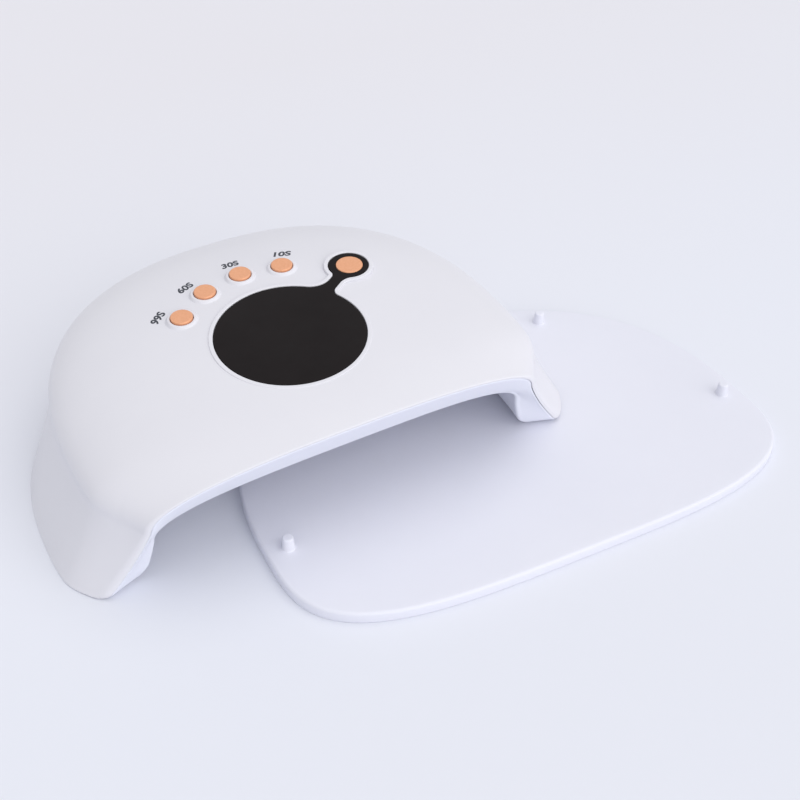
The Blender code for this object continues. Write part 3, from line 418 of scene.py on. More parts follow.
def column_angles(form, setback, floor):
    """Angles of the columns: even steps along the form's edge, with one column on each
    front corner, where the edge passes from the floor to the front face."""
    low, high = math.pi / 2, math.pi
    for _ in range(30):
        middle = np.array([(low + high) / 2])
        ahead, below = past_faces(form_points(form, middle, path_end(form, middle, setback, floor)),
                                  setback, floor)
        if below[0] > ahead[0]:
            low = middle[0]
        else:
            high = middle[0]
    parts = []
    for first, last, count in ((-low, low, BACK_COLUMNS), (low, 2 * math.pi - low, FRONT_COLUMNS)):
        fine = np.linspace(first, last, 10 * count)
        edge = form_points(form, fine, path_end(form, fine, setback, floor))
        run = np.concatenate([[0], np.cumsum(np.linalg.norm(np.diff(edge, axis=0), axis=1))])
        parts.append(np.interp(np.linspace(0, run[-1], count + 1)[:-1], run, fine))
    return np.concatenate(parts)


def form_rows(form, angle, setback, floor, shares):
    """Rows of points at the given shares of the way from the apex to the edge."""
    end = path_end(form, angle, setback, floor)
    return np.stack([form_points(form, angle, end * share) for share in shares])


def edge_round(angle):
    """Radius of the cover's front edge at each column: it grows down the legs, and fades
    again along the outer sides of the feet."""
    form = casing_form(0.0)
    edge = form_points(form, angle, path_end(form, angle, 0.0, 0.0))
    leg = eased(np.abs(edge[:, 0]), LEG_START_X, LEG_END_X) * eased(-edge[:, 1], -LEG_BACK_Y, -LEG_FRONT_Y)
    return COVER_EDGE_ROUND + (LEG_EDGE_ROUND - COVER_EDGE_ROUND) * leg


def land_bevel(angle):
    """How far the lip stands back behind the front face at each column."""
    form = cavity_form(0.0)
    edge = form_points(form, angle, path_end(form, angle, ARCH_BEVEL, 0.0))
    return FOOT_BEVEL + (ARCH_BEVEL - FOOT_BEVEL) * eased(edge[:, 2], 0.0, FOOT_BEVEL_HEIGHT)


def dome_height(x, y):
    """Height of the casing's outside over places in the lamp's plan, by halving."""
    form = casing_form(0.0)
    low, high = np.zeros_like(x), np.full_like(x, form["height"])
    for _ in range(36):
        level = (low + high) / 2
        rise = np.maximum(level - WAIST_HEIGHT, 0) / (CASING_HEIGHT - WAIST_HEIGHT)
        across = (1 - rise ** CASING_RISE) ** (1 / CASING_ROUND)
        half, back, front = [waist * across for waist in WAIST]
        centre = CENTRE_LOW_Y + (CENTRE_TOP_Y - CENTRE_LOW_Y) * level / CASING_HEIGHT
        reach = np.where(y > centre, back, front)
        share = np.abs(x / half) ** OUTLINE_POWER + np.abs((y - centre) / reach) ** OUTLINE_POWER
        low = np.where(share < 1, level, low)
        high = np.where(share < 1, high, level)
    return low * slope_factor(y)


def deck_height(x, y):
    """Height of the casing's outside over places on the deck, square to the deck."""
    back = DECK_Y + y * math.cos(DECK_TILT)
    return (dome_height(x, back) - DECK_HEIGHT - y * math.sin(DECK_TILT)) * math.cos(DECK_TILT)


# Window outline and places on the deck

def arc(centre, radius, start, end, steps):
    """Points along an arc of a circle, both ends included."""
    angle = np.linspace(start, end, steps + 1)
    return np.stack([centre[0] + radius * np.cos(angle), centre[1] + radius * np.sin(angle)], axis=-1)


def window_outline(grow):
    """Disc, neck and ring in one outline, grown outwards. Four fillets join the neck to
    the two circles, each tangent to a circle and to the neck's side."""
    disc, ring, half_neck = WINDOW_RADIUS + grow, RING_RADIUS + grow, NECK_WIDTH / 2 + grow
    parts = []
    for side, (at_disc, at_ring) in ((-1, RIGHT_FILLETS), (1, LEFT_FILLETS)):
        at_disc, at_ring = at_disc - grow, at_ring - grow
        near_offset, far_offset = half_neck + at_disc, half_neck + at_ring
        near = (math.sqrt((disc + at_disc) ** 2 - near_offset ** 2), side * near_offset)
        far = (RING_ORBIT - math.sqrt((ring + at_ring) ** 2 - far_offset ** 2), side * far_offset)
        near_turn = math.atan2(near[1], near[0])
        far_turn = math.atan2(far[1], far[0] - RING_ORBIT)
        if side < 0:
            disc_start, ring_start = near_turn, far_turn
            parts.append(arc(near, at_disc, near_turn + math.pi, math.pi / 2, 2 * ARC_STEPS))
            parts.append(arc(far, at_ring, math.pi / 2, far_turn + math.pi, 2 * ARC_STEPS))
        else:
            parts.append(arc((RING_ORBIT, 0.0), ring, ring_start, far_turn, ROUND_SIDES)[1:-1])
            parts.append(arc(far, at_ring, far_turn - math.pi, -math.pi / 2, 2 * ARC_STEPS))
            parts.append(arc(near, at_disc, -math.pi / 2, near_turn - math.pi, 2 * ARC_STEPS))
            parts.append(arc((0.0, 0.0), disc, near_turn, disc_start + 2 * math.pi, 3 * ROUND_SIDES)[1:-1])
    bearing = math.pi / 2 - math.radians(RING_BEARING)
    return np.concatenate(parts) @ turn_about(2, bearing)[:2, :2].T + (0.0, WINDOW_SHIFT)


def window_ring(grow, height):
    outline = window_outline(grow)
    return np.column_stack([outline, np.full(len(outline), height)])


def orbit_place(radius, bearing_degrees):
    """A place round the display, its bearing turned to the right from the back."""
    bearing = math.radians(bearing_degrees)
    return radius * math.sin(bearing), radius * math.cos(bearing)


def flat_body(rings):
    """A body of rings whose two ends are single flat faces of many corners, for outlines
    that bend inwards: the ends are cut into triangles when the mesh is drawn."""
    rows, columns, _ = rings.shape
    index = np.arange(rows * columns).reshape(rows, columns)
    after = np.roll(index, -1, axis=1)
    quads = np.stack([index[:-1], after[:-1], after[1:], index[1:]], axis=-1).reshape(-1, 4)
    return rings.reshape(-1, 3), quads.tolist() + [index[0][::-1].tolist(), index[-1].tolist()]


# Shader arithmetic

class Value:
    """A shader socket in an expression: each operator adds its Math node."""

    def __init__(self, finish, socket):
        self.finish, self.socket = finish, socket

    def _apply(self, operation, *operands):
        return self.finish.node('ShaderNodeMath', {"operation": operation}, dict(enumerate(operands)))

    def __add__(self, other):
        return self._apply('ADD', self, other)

    __radd__ = __add__

    def __sub__(self, other):
        return self._apply('SUBTRACT', self, other)

    def __rsub__(self, other):
        return self._apply('SUBTRACT', other, self)

    def __mul__(self, other):
        return self._apply('MULTIPLY', self, other)

    __rmul__ = __mul__

    def __pow__(self, other):
        return self._apply('POWER', self, other)

    def limited(self, low, high):
        """0 at the low value and 1 at the high one, straight in between."""
        return self.finish.node('ShaderNodeMapRange', {"clamp": True},
                                {"Value": self, "From Min": low, "From Max": high})


class Finish:
    """A material whose surface is one Principled shader with constants set on it."""

    def __init__(self, name, colour, **constants):
        self.material = bpy.data.materials.new(name)
        self.material.use_nodes = True
        self.tree = self.material.node_tree
        self.shader = self.tree.nodes["Principled BSDF"]
        self.shader.inputs["Base Color"].default_value = (*colour, 1.0)
        for words, value in constants.items():
            socket = self.shader.inputs[words.replace("_", " ").title().replace("Ior", "IOR")]
            socket.default_value = value
        self.place = self.node('ShaderNodeTexCoord', {}, {}, "Object")

    def node(self, kind, settings, inputs, output=0):
        """Any node: its settings first, then values or links for its sockets."""
        node = self.tree.nodes.new(kind)
        for word, setting in settings.items():
            setattr(node, word, setting)
        for word, value in inputs.items():
            socket = node.inputs[word]
            if isinstance(value, Value):
                self.tree.links.new(value.socket, socket)
            else:
                socket.default_value = value
        return Value(self, node.outputs[output])

    def noise(self, scale, detail=3.0, roughness=0.5, place=None):
        """Cloudy noise from 0 to 1, with so many grains in a metre."""
        return self.node('ShaderNodeTexNoise', {}, {"Vector": place or self.place, "Scale": scale,
                                                    "Detail": detail, "Roughness": roughness})

    def blend(self, factor, first, second):
        """From the first colour to the second."""
        colours = [colour if isinstance(colour, Value) else (*colour, 1.0) for colour in (first, second)]
        return self.node('ShaderNodeMix', {"data_type": 'RGBA'},
                         {"Factor": factor, 6: colours[0], 7: colours[1]}, 2)

    def feed(self, socket, value):
        self.tree.links.new(value.socket, self.shader.inputs[socket])

    def relief(self, height, distance, strength=1.0):
        """Bump from a height of 0 to 1 that stands for a distance in metres."""
        self.feed("Normal", self.node('ShaderNodeBump', {}, {"Height": height, "Distance": distance,
                                                             "Strength": strength}))


def moulded(name, colour, deeper, roughness, grain, grain_height, **constants):
    """Moulded plastic: a tone that drifts a little over the surface, gloss that varies
    with it, and the fine grain or orange peel of the mould as relief."""
    finish = Finish(name, colour, **constants)
    drift = finish.noise(14.0, 2.0)
    flow = finish.noise(90.0, 3.0)
    finish.feed("Base Color", finish.blend((drift * 0.7 + flow * 0.3).limited(0.35, 0.65), colour, deeper))
    finish.feed("Roughness", finish.noise(420.0, 4.0).limited(0.25, 0.75) * 0.05 + roughness)
    finish.relief(finish.noise(grain, 2.0), grain_height)
    return finish.material


def smoked_window():
    """Smoked glossy plastic with the faintest film of handling on it."""
    finish = Finish("smoked_window", (0.011, 0.0085, 0.0088), specular_ior_level=0.12)
    film = finish.noise(55.0, 5.0, 0.6).limited(0.35, 0.75)
    finish.feed("Base Color", finish.blend(film, (0.0102, 0.0076, 0.0079), (0.0125, 0.0098, 0.0101)))
    finish.feed("Roughness", film * 0.06 + 0.16)
    finish.relief(finish.noise(160.0, 2.0), 0.000004)
    return finish.material


def copper_cap():
    """Copper-coloured blasted metal paint: fine grains that differ in tone and gloss."""
    finish = Finish("copper_cap", (0.86, 0.42, 0.235), metallic=0.3)
    grain = finish.noise(5200.0, 2.0, 0.6)
    cloud = finish.noise(900.0, 3.0)
    tone = (grain * 0.6 + cloud * 0.4).limited(0.32, 0.68)
    finish.feed("Base Color", finish.blend(tone, (0.80, 0.375, 0.195), (0.90, 0.46, 0.27)))
    finish.feed("Roughness", grain.limited(0.3, 0.7) * 0.14 + 0.34)
    finish.relief(grain, 0.00003)
    return finish.material


def printed_ink():
    """Slate pad print, a touch thinner where the ink has run."""
    finish = Finish("printed_ink", (0.055, 0.06, 0.075), specular_ior_level=0.3)
    cover = finish.noise(2600.0, 3.0).limited(0.3, 0.7)
    finish.feed("Base Color", finish.blend(cover, (0.045, 0.05, 0.062), (0.075, 0.08, 0.098)))
    finish.feed("Roughness", cover * 0.1 + 0.42)
    return finish.material


def plain(name, colour, deeper, roughness, scale, height, **constants):
    """A worked surface: cloudy tone, gloss and relief at one scale."""
    finish = Finish(name, colour, **constants)
    cloud = finish.noise(scale, 4.0, 0.6)
    tone = cloud.limited(0.3, 0.7)
    finish.feed("Base Color", finish.blend(tone, colour, deeper))
    finish.feed("Roughness", tone * 0.08 + roughness)
    finish.relief(cloud, height)
    return finish.material


def circuit_board():
    """Green lacquer over copper: the tracks are the thin stripes where two sets of
    waves pass a limit, and solder pads are the tops of a cell pattern."""
    finish = Finish("board_laminate", (0.02, 0.16, 0.09), specular_ior_level=0.5)
    waves = finish.node('ShaderNodeTexWave', {"bands_direction": 'X'},
                        {"Vector": finish.place, "Scale": 190.0, "Distortion": 2.5, "Detail Scale": 0.4})
    tracks = waves.limited(0.72, 0.78)
    cells = finish.node('ShaderNodeTexVoronoi', {}, {"Vector": finish.place, "Scale": 320.0})
    pads = 1 - cells.limited(0.16, 0.2)
    lacquer = finish.blend(tracks, (0.012, 0.11, 0.06), (0.03, 0.2, 0.11))
    finish.feed("Base Color", finish.blend(pads, lacquer, (0.62, 0.6, 0.56)))
    finish.feed("Roughness", 0.42 - pads * 0.14)
    finish.relief(tracks, 0.00004)
    return finish.material


def lamp_resin():
    """Clear resin with the faint yellow of a curing lamp's chip behind it."""
    finish = Finish("lamp_resin", (0.78, 0.75, 0.55), specular_ior_level=0.6)
    depth = finish.noise(700.0, 2.0).limited(0.3, 0.7)
    finish.feed("Base Color", finish.blend(depth, (0.80, 0.77, 0.60), (0.70, 0.66, 0.42)))
    finish.feed("Roughness", depth * 0.04 + 0.1)
    return finish.material


COVER = moulded("cover_plastic", (0.766, 0.762, 0.808), (0.752, 0.748, 0.796), 0.28, 260.0, 0.000004,
                specular_ior_level=0.3)
TRAY = moulded("tray_plastic", (0.830, 0.845, 0.935), (0.816, 0.832, 0.925), 0.36, 1500.0, 0.000008)
PLATE = moulded("plate_plastic", (0.792, 0.799, 0.880), (0.778, 0.786, 0.869), 0.42, 2400.0, 0.000010)
WINDOW = smoked_window()
COPPER = copper_cap()
INK = printed_ink()
RESIN = lamp_resin()
BLACK = plain("dark_plastic", (0.03, 0.03, 0.031), (0.04, 0.04, 0.041), 0.4, 1800.0, 0.00001)
BOARD = circuit_board()
WHITE_BOARD = plain("board_aluminium", (0.78, 0.79, 0.80), (0.72, 0.73, 0.74), 0.34, 1200.0, 0.000006,
                    metallic=0.35)
RIBBON = plain("ribbon_plastic", (0.76, 0.77, 0.82), (0.68, 0.69, 0.74), 0.4, 900.0, 0.00001)
STEEL = plain("screw_steel", (0.62, 0.62, 0.64), (0.52, 0.52, 0.55), 0.26, 3000.0, 0.000006, metallic=1.0)
RUBBER = plain("lead_rubber", (0.03, 0.03, 0.03), (0.045, 0.045, 0.045), 0.5, 1500.0, 0.00001)


# Casings

def upright_shares(dome_rows, skirt_rows, last_rows_power):
    """Shares of the way from the apex: even over the dome, then closer towards the
    edge by a power."""
    dome = np.linspace(0, 0.5, dome_rows + 1)[1:]
    skirt = 1 - 0.5 * np.linspace(1, 0, skirt_rows + 1)[1:] ** last_rows_power
    return np.concatenate([dome, skirt])


def round_steps(radius, steps=5):
    """Pairs from (0, radius) to (radius, 0) round a quarter circle about (radius, radius)."""
    turn = np.linspace(0, math.pi / 2, steps + 1)
    return np.column_stack([radius * (1 - np.cos(turn)), radius * (1 - np.sin(turn))])


def lamp_stack(rows, apex_form, inner_form):
    """Rows with the two apexes as their end rings, so that both ends close on a point."""
    columns = rows.shape[1]
    ends = [form_points(form, np.zeros(columns), np.full(columns, 1e-4)) for form in (apex_form, inner_form)]
    return np.concatenate([ends[0][None], rows, ends[1][None]])


def build_cover():
    """The cover's outside from its apex to a rounded edge, the thin edge face, and the
    inside back to the apex."""
    outer, inner = casing_form(0.0), casing_form(COVER_WALL)
    angle = column_angles(outer, 0.0, 0.0)
    front = edge_round(angle)
    rows = [form_rows(outer, angle, front, COVER_EDGE_ROUND, upright_shares(52, 34, 1.0))]
    for inset, setback in round_steps(1.0, ARC_STEPS)[1:]:
        rows.append(form_rows(casing_form(front * inset), angle, front * setback,
                              COVER_EDGE_ROUND * setback, [1.0]))
    edge = casing_form(front + COVER_EDGE_WALL)
    rows.append(form_rows(edge, angle, 0.0, 0.0, [1.0]))
    rows.append(form_rows(edge, angle, COVER_EDGE_DEPTH, COVER_EDGE_DEPTH, [1.0]))
    depth = COVER_EDGE_DEPTH + COVER_WALL
    rows.append(form_rows(inner, angle, depth, depth, upright_shares(10, 8, 1.0)[::-1]))
    rings = lamp_stack(np.concatenate(rows), outer, inner)
    cover = make_piece("top_cover_shell", placed(ring_body(rings), from_lamp), COVER, "lamp",
                       ["top_cover"])
    combine(cover, joined(cover_holes()), 'DIFFERENCE')


def cover_holes():
    """The window's opening, the timer buttons' holes and the socket's hole."""
    bottom, top = -SURROUND_DEPTH - OVERRUN, SURROUND_RISE + OVERRUN
    grow = GAP + SURROUND_WIDTH / 2
    window = ring_body(np.stack([window_ring(grow, bottom), window_ring(grow, top)]))
    holes = [placed(window, from_deck)]
    for bearing in TIMERS.values():
        radius = TIMER_RADIUS + GAP + DISH_WIDTH / 2
        hole = turned_body([(radius, bottom), (radius, top)], orbit_place(TIMER_ORBIT, bearing))
        holes.append(placed(hole, from_deck))
    radius = SOCKET_MOUTH_RADIUS + GAP
    hole = turned_body([(radius, SOCKET_HOLE_START), (radius, SOCKET_HOLE_END)])
    holes.append(placed(hole, lambda points: from_lamp(lay_back(points))))
    return holes


def lay_back(points):
    """Turn points that were built upwards so that they point to the back."""
    return np.column_stack([points[:, 0], points[:, 2], SOCKET_HEIGHT - points[:, 1]])


def build_tray():
    """The hand space's wall, a rounded lip, the land that is the front band and the
    soles, its edge in the cover, and the upper side of the sheet."""
    cavity, grown = cavity_form(0.0), cavity_form(TRAY_WALL)
    inside = column_angles(cavity, ARCH_BEVEL, 0.0)
    bevel = land_bevel(inside)
    outside = column_angles(casing_form(0.0), 0.0, 0.0)
    seat = edge_round(outside) + COVER_EDGE_WALL + SEAM_WIDTH
    rows = [form_rows(cavity, inside, bevel + LIP_ROUND, LIP_ROUND, upright_shares(30, 34, 1.6))]
    for grow, setback in round_steps(LIP_ROUND)[1:]:
        rows.append(form_rows(cavity_form(grow), inside, bevel + setback, setback, [1.0]))
    lip = rows[-1][0]
    band = form_rows(casing_form(seat + BAND_EDGE_ROUND), outside, 0.0, 0.0, [1.0])[0]
    shares = np.linspace(0, 1, 13)[1:, None, None]
    rows.append(lip + (band - lip) * shares)
    for setback, inset in round_steps(BAND_EDGE_ROUND)[1:]:
        rows.append(form_rows(casing_form(seat + inset), outside, setback, setback, [1.0]))
    rows.append(form_rows(casing_form(seat), outside, TRAY_WALL, TRAY_WALL, [1.0]))
    rows.append(form_rows(grown, inside, bevel + TRAY_WALL, TRAY_WALL, upright_shares(8, 10, 1.6)[::-1]))
    rings = lamp_stack(np.concatenate(rows), cavity, grown)
    tray = make_piece("inner_tray_shell", placed(ring_body(rings), from_lamp), TRAY, "lamp",
                      ["inner_tray"])
    combine(tray, placed(joined(tray_bosses()), from_lamp), 'UNION')
    combine(tray, joined(tray_holes()), 'DIFFERENCE')


def tray_bosses():
    radius = SCREW_HEAD_RADIUS + GAP + SCREW_POCKET_WALL
    top = SCREW_POCKET_DEPTH + SCREW_POCKET_WALL
    return [turned_body([(radius, TRAY_WALL / 2), (radius, top)], place, 48) for place in SCREW_PLACES]


def led_places():
    across, along = [(np.arange(count) - (count - 1) / 2) * pitch for count, pitch in zip(LED_COUNTS, LED_PITCH)]
    return [(x, y) for y in along for x in across]


def side_led_places():
    """Distance back and wall distance of each lamp in a side wall, at the waist."""
    y = CENTRE_LOW_Y + (np.arange(SIDE_LED_COUNT) - (SIDE_LED_COUNT - 1) / 2) * SIDE_LED_PITCH
    reach = np.where(y > CENTRE_LOW_Y, CAVITY_WAIST[1], CAVITY_WAIST[2])
    share = np.abs((y - CENTRE_LOW_Y) / reach) ** OUTLINE_POWER
    return list(zip(y, CAVITY_WAIST[0] * (1 - share) ** (1 / OUTLINE_POWER)))


def side_board_face():
    skirt = SIDE_BOARD_SIZE[1] / 2 / CAVITY_WAIST_HEIGHT
    form = cavity_form(TRAY_WALL)
    return form_points(form, np.array([math.pi / 2]), np.array([1 + skirt]))[0][0] + GAP


def sideways(side, y):
    """Turns points that were built upwards to one side, at the cavity's waist."""
    return lambda points: from_lamp(np.column_stack([side * points[:, 2], y - side * points[:, 1],
                                                     CAVITY_WAIST_HEIGHT + points[:, 0]]))


def tray_holes():
    """Screw pockets and peg holes in the soles, and the lamps' and sensors' holes."""
    head, shank = SCREW_HEAD_RADIUS + GAP, SCREW_RADIUS + GAP
    peg = PEG_BASE_RADIUS + GAP
    through = SCREW_POCKET_DEPTH + SCREW_POCKET_WALL + OVERRUN
    pocket = [(head, -OVERRUN), (head, SCREW_POCKET_DEPTH), (shank, SCREW_POCKET_DEPTH), (shank, through)]
    soles = [turned_body(pocket, place, 48) for place in SCREW_PLACES]
    shift = CENTRE_LOW_Y - PLATE_WIDEST_Y
    soles += [turned_body([(peg, -OVERRUN), (peg, TRAY_WALL + OVERRUN)], (x, y + shift), 48)
              for x, y in PEG_PLACES]
    ceiling = [turned_body([(LED_RADIUS + GAP, -CAVITY_HEIGHT / 4), (LED_RADIUS + GAP, OVERRUN)], place, 32)
               for place in led_places()]
    ceiling += [turned_body([(SENSOR_RADIUS + GAP, -CAVITY_HEIGHT / 4), (SENSOR_RADIUS + GAP, OVERRUN)],
                            (side * SENSOR_SPACING, -LED_PITCH[1] / 2), 32) for side in (-1, 1)]
    walls = [placed(turned_body([(LED_RADIUS + GAP, wall - OVERRUN), (LED_RADIUS + GAP, side_board_face() + OVERRUN)],
                                sides=32), sideways(side, y))
             for side in (-1, 1) for y, wall in side_led_places()]
    return [placed(joined(soles), from_lamp), placed(joined(ceiling), from_ceiling), *walls]


# Window, surround, dishes and buttons

def build_window():
    """The window: its outline stands up to a narrow bevel, a flat margin keeps the top
    plane, and the power button's hole is cut through its ring."""
    bottom = WINDOW_RISE - WINDOW_THICKNESS
    bevel, margin = 0.00018, 0.0006
    levels = [(0.0, bottom), (0.0, WINDOW_RISE - bevel)]
    levels += [(-inset, WINDOW_RISE - drop) for inset, drop in round_steps(bevel, 4)[1:]]
    levels += [(-margin, WINDOW_RISE)]
    points, faces = flat_body(np.stack([window_ring(grow, height) for grow, height in levels]))
    mesh = bpy.data.meshes.new("display_window")
    mesh.from_pydata(from_deck(points).tolist(), [], faces)
    window = bpy.data.objects.new("display_window", mesh)
    bpy.context.scene.collection.objects.link(window)
    mesh.materials.append(WINDOW)
    radius = POWER_RADIUS + GAP
    hole = turned_body([(radius, bottom - OVERRUN), (radius, WINDOW_RISE + OVERRUN)],
                       orbit_place(POWER_ORBIT, POWER_BEARING))
    combine(window, placed(hole, from_deck), 'DIFFERENCE')
    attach(window, "lamp")
    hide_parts("display_lens")


def build_surround():
    """A low rim round the window: a flat top between a small inner bevel and a rounded
    outer edge, whose flank runs down into the cover."""
    inner, outer, top, edge = GAP, SURROUND_WIDTH, SURROUND_RISE, 0.0003
    profile = [(inner, -SURROUND_DEPTH), (inner, top - edge)]
    profile += quarter_round((inner, top - edge), (inner, top), (inner + edge, top))[1:]
    profile += quarter_round((outer - edge, top), (outer, top), (outer, top - edge))
    profile += [(outer, -SURROUND_DEPTH)]
    rings = np.stack([window_ring(grow, height) for grow, height in profile])
    make_piece("window_surround", placed(ring_body(rings, "loop"), from_deck), COVER, "lamp",
               ["top_cover"])


def build_dishes():
    """A round dish for each timer button: a flat floor round the hole, and a flank that
    follows half a cosine wave down to the cover's outside."""
    edge_round, sunk = 0.0002, 0.00004
    for name, bearing in TIMERS.items():
        centre = orbit_place(TIMER_ORBIT, bearing)
        hole, edge = TIMER_RADIUS + GAP, TIMER_RADIUS + DISH_WIDTH
        angle = np.linspace(0, 2 * math.pi, ROUND_SIDES, endpoint=False)
        rings = []
        for radius, height in [(hole, -SURROUND_DEPTH), (hole, DISH_RISE - edge_round),
                               (hole + edge_round, DISH_RISE)]:
            rings.append((np.full(ROUND_SIDES, radius), np.full(ROUND_SIDES, height)))
        for share in np.linspace(0, 1, 9):
            radius = np.full(ROUND_SIDES, edge - DISH_FLANK / 2 + DISH_FLANK * share)
            x, y = centre[0] + radius * np.cos(angle), centre[1] + radius * np.sin(angle)
            ground = deck_height(x, y) - sunk
            fall = (1 - math.cos(math.pi * share)) / 2
            rings.append((radius, DISH_RISE + (ground - DISH_RISE) * fall))
        rings.append((np.full(ROUND_SIDES, edge), np.full(ROUND_SIDES, -SURROUND_DEPTH)))
        stack = np.stack([np.column_stack([centre[0] + radius * np.cos(angle),
                                           centre[1] + radius * np.sin(angle), height])
                          for radius, height in rings])
        make_piece(f"button_dish_{name}", placed(ring_body(stack, "loop"), from_deck), COVER, "lamp",
                   ["top_cover"])


def build_buttons():
    """Caps on their stems: an upright side, a rounded bevel and a flat top."""
    buttons = [(name, orbit_place(TIMER_ORBIT, bearing), TIMER_RADIUS, TIMER_RISE)
               for name, bearing in TIMERS.items()]
    buttons.append(("power", orbit_place(POWER_ORBIT, POWER_BEARING), POWER_RADIUS, POWER_RISE))
    waist = -WINDOW_THICKNESS - GAP
    bevel = 0.00035
    for name, centre, radius, top in buttons:
        profile = [(STEM_RADIUS, STEM_FOOT), (STEM_RADIUS, waist), (radius, waist)]
        profile += quarter_round((radius, top - bevel), (radius, top), (radius - bevel, top))
        profile += [(radius * share, top) for share in (0.75, 0.4)]
        make_piece(f"button_cap_{name}", placed(turned_body(profile, centre), from_deck), COPPER,
                   f"cap_{name}", [f"button_{name}"])


def build_labels():
    """Timer marks in plain letters, upright from the front and turned round the display.
    Each lies on the cover: its points stand a hair over the cover's outside."""
    for words, (orbit, bearing, turn) in LABEL_PLACES.items():
        curve = bpy.data.curves.new(f"label_{words}", 'FONT')
        curve.body, curve.shear, curve.offset = words, 0.15, 0.03
        curve.extrude = 0.5
        curve.resolution_u = 6
        text = bpy.data.objects.new("text", curve)
        bpy.context.scene.collection.objects.link(text)
        bpy.context.view_layer.update()
        mesh = bpy.data.meshes.new_from_object(text.evaluated_get(bpy.context.evaluated_depsgraph_get()))
        bpy.data.objects.remove(text)
        points = np.zeros(len(mesh.vertices) * 3)
        mesh.vertices.foreach_get("co", points)
        points = points.reshape(-1, 3)
        low, high = points.min(axis=0), points.max(axis=0)
        flat = (points[:, :2] - (low + high)[:2] / 2) * (LABEL_WIDTH, LABEL_HEIGHT) / (high - low)[:2]
        turned = flat @ turn_about(2, -math.radians(turn))[:2, :2].T + orbit_place(orbit, bearing)
        height = deck_height(turned[:, 0], turned[:, 1]) + np.where(points[:, 2] > 0, INK_RISE, -INK_DEPTH)
        mesh.vertices.foreach_set("co", from_deck(np.column_stack([turned, height])).ravel())
        mesh.materials.clear()
        mesh.materials.append(INK)
        mesh.update()
        label = bpy.data.objects.new(f"label_{words}", mesh)
        bpy.context.scene.collection.objects.link(label)
        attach(label, "lamp")


# Lamps and boards

def build_lamps():
    """Boards with round corners, and resin lamps: a dome below a short cylinder."""
    bottom = -TRAY_WALL - GAP - LED_DEPTH
    dome = [(LED_RADIUS * math.sin(turn), bottom + LED_RADIUS * (1 - math.cos(turn)))
            for turn in np.linspace(0.15, math.pi / 2, 9)]
    lamps = joined([turned_body(dome + [(LED_RADIUS, -GAP / 10)], place, 32) for place in led_places()])
    slab = slab_body(LED_BOARD_SIZE[0] / 2, LED_BOARD_SIZE[1] / 2, 0.0, BOARD_THICKNESS, 0.002, 0.0002)
    make_piece("lamp_board_top", placed(slab, from_ceiling), WHITE_BOARD, "lamp",
               ["led_board_top"])
    make_piece("lamps_top", placed(lamps, from_ceiling), RESIN, "lamp", ["led_board_top"])
    face = side_board_face()
    for side, word in ((-1, "left"), (1, "right")):
        slab = slab_body(SIDE_BOARD_SIZE[1] / 2, SIDE_BOARD_SIZE[0] / 2, face, face + BOARD_THICKNESS,
                         0.001, 0.0002)
        make_piece(f"lamp_board_{word}", placed(slab, sideways(side, CENTRE_LOW_Y)), WHITE_BOARD, "lamp",
                   [f"led_board_{word}"])
        bodies = []
        for y, wall in side_led_places():
            tip = wall - LED_DEPTH / 2
            dome = [(LED_RADIUS * math.sin(turn), tip + LED_RADIUS * (1 - math.cos(turn)))
                    for turn in np.linspace(0.15, math.pi / 2, 9)]
            bodies.append(placed(turned_body(dome + [(LED_RADIUS, face - GAP / 10)], sides=32), sideways(side, y)))
        make_piece(f"lamps_{word}", joined(bodies), RESIN, "lamp", [f"led_board_{word}"])


# Base plate

def build_plate():
    """A D-shaped plate of two half superellipses: rings from a small lower edge round
    over the side to a larger upper one. Its pegs taper to a rounded top."""
    turn = np.linspace(0, 2 * math.pi, 288, endpoint=False)
    side, ahead = np.cos(turn), np.sin(turn)
    reach = np.where(ahead > 0, PLATE_BACK, PLATE_FRONT)
    power = np.where(ahead > 0, PLATE_BACK_POWER, PLATE_FRONT_POWER)
    size = (np.abs(side) ** power + np.abs(ahead) ** power) ** (-1 / power)
    foot = 0.0004
    levels = [(inset, height) for inset, height in round_steps(foot, 3)[::-1]]
    levels += [(inset, PLATE_THICKNESS - drop) for inset, drop in round_steps(PLATE_EDGE_ROUND, 8)]
    levels += [(inset, PLATE_THICKNESS) for inset in (0.004, 0.02, 0.045)]
    rings = np.stack([np.column_stack([(PLATE_HALF_WIDTH - inset) * side * size,
                                       PLATE_WIDEST_Y + (reach - inset) * ahead * size,
                                       np.full_like(turn, height)]) for inset, height in levels])
    plate = make_piece("plate_shell", ring_body(rings), PLATE, "plate", ["base_plate"])
    top, edge, skirt = PLATE_THICKNESS + PEG_HEIGHT, 0.0007, 0.0005
    profile = [(PEG_BASE_RADIUS + skirt, PLATE_THICKNESS / 2), (PEG_BASE_RADIUS + skirt, PLATE_THICKNESS)]
    profile += quarter_round((PEG_BASE_RADIUS + skirt, PLATE_THICKNESS), (PEG_BASE_RADIUS, PLATE_THICKNESS),
                             (PEG_BASE_RADIUS, PLATE_THICKNESS + skirt))[1:]
    profile += quarter_round((PEG_TOP_RADIUS, top - edge), (PEG_TOP_RADIUS, top), (PEG_TOP_RADIUS - edge, top))
    pegs = joined([turned_body(profile, place, 48) for place in PEG_PLACES])
    combine(plate, pegs, 'UNION')


# Carried-over nodes, floor, light and camera

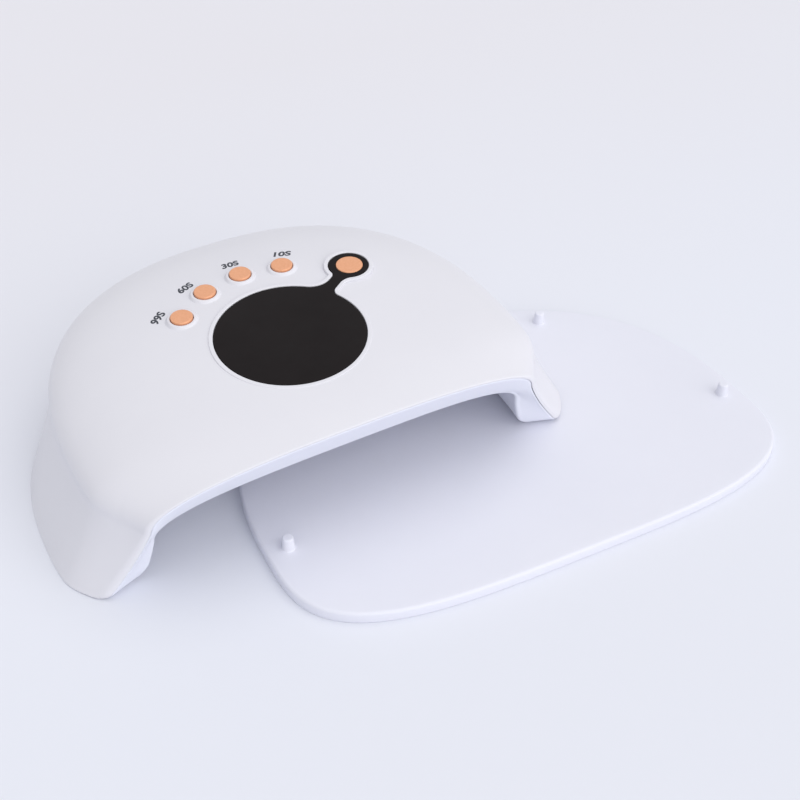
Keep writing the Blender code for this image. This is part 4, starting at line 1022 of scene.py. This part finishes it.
def dress_nodes():
    """The part's own finishes for the pieces inside, whose shapes are right as they are."""
    finishes = {"dark_plastic": BLACK, "board_laminate": BOARD, "board_aluminium": WHITE_BOARD,
                "ribbon_plastic": RIBBON, "screw_steel": STEEL, "lead_rubber": RUBBER,
                "smoked_window": WINDOW, "copper_cap": COPPER, "cover_plastic": COVER,
                "tray_plastic": TRAY, "plate_plastic": PLATE}
    for row in frame["record"]["subparts"]:
        node = frame["nodes"][row["node"]]
        node.data.materials.clear()
        node.data.materials.append(finishes[row["material_slot"]])


def build_stage():
    """A pale floor, painted a little bluer and lighter in front than behind as painted light, even light from all
    round, a soft lamp above the front right and a broad one low in front."""
    near, far = (0.793, 0.812, 0.880), (0.783, 0.776, 0.818)
    mesh = bpy.data.meshes.new("floor")
    reach = 6.0
    mesh.from_pydata([(-reach, -reach, 0.0), (reach, -reach, 0.0), (reach, reach, 0.0), (-reach, reach, 0.0)],
                     [], [(0, 1, 2, 3)])
    floor = bpy.data.objects.new("floor", mesh)
    bpy.context.scene.collection.objects.link(floor)
    finish = Finish("floor_paper", near, roughness=0.9, specular_ior_level=0.1)
    depth = finish.node('ShaderNodeSeparateXYZ', {}, {"Vector": finish.place}, "Y")
    paper = finish.noise(3.0, 3.0).limited(0.3, 0.7)
    # Painted light: the floor's colour goes from the near tone to the darker, greyer far one towards the back,
    # standing in for light that falls off behind. The small paper noise is the paper's own.
    finish.feed("Base Color", finish.blend(depth.limited(0.0, 0.45) * 0.85 + paper * 0.15, near, far))
    mesh.materials.append(finish.material)

    world = bpy.data.worlds.new("studio")
    bpy.context.scene.world = world
    world.use_nodes = True
    tree = world.node_tree
    background = tree.nodes["Background"]
    background.inputs["Color"].default_value = (0.955, 0.965, 1.0, 1.0)
    background.inputs["Strength"].default_value = 0.64
    seen = tree.nodes.new('ShaderNodeBackground')
    seen.inputs["Color"].default_value = (0.84, 0.84, 0.88, 1.0)
    paths = tree.nodes.new('ShaderNodeLightPath')
    mix = tree.nodes.new('ShaderNodeMixShader')
    tree.links.new(paths.outputs["Is Camera Ray"], mix.inputs[0])
    tree.links.new(background.outputs[0], mix.inputs[1])
    tree.links.new(seen.outputs[0], mix.inputs[2])
    tree.links.new(mix.outputs[0], tree.nodes["World Output"].inputs["Surface"])

    for name, energy, angle, lean, turn in (("overhead", 0.70, 60.0, 16.0, 100.0), ("front", 1.6, 80.0, 70.0, 16.0)):
        light = bpy.data.lights.new(name, 'SUN')
        light.energy, light.angle, light.color = energy, math.radians(angle), (1.0, 0.99, 0.985)
        lamp = bpy.data.objects.new(name, light)
        lamp.rotation_euler = (math.radians(lean), 0.0, math.radians(turn))
        bpy.context.scene.collection.objects.link(lamp)


def build_camera():
    """The photograph's viewpoint: above, in front and to the left."""
    data = bpy.data.cameras.new("camera")
    data.lens, data.sensor_width = 51.75, 36.0
    camera = bpy.data.objects.new("camera", data)
    camera.location = (-0.2243, -0.3578, 0.3584)
    camera.rotation_euler = (math.radians(50.9), 0.0, math.radians(-26.8))
    bpy.context.scene.collection.objects.link(camera)
    bpy.context.scene.camera = camera


build_camera()
dress_nodes()
build_cover()
build_surround()
build_dishes()
build_tray()
build_window()
build_buttons()
build_labels()
build_lamps()
build_plate()
build_stage()
bpy.context.scene.view_settings.view_transform = 'Standard'
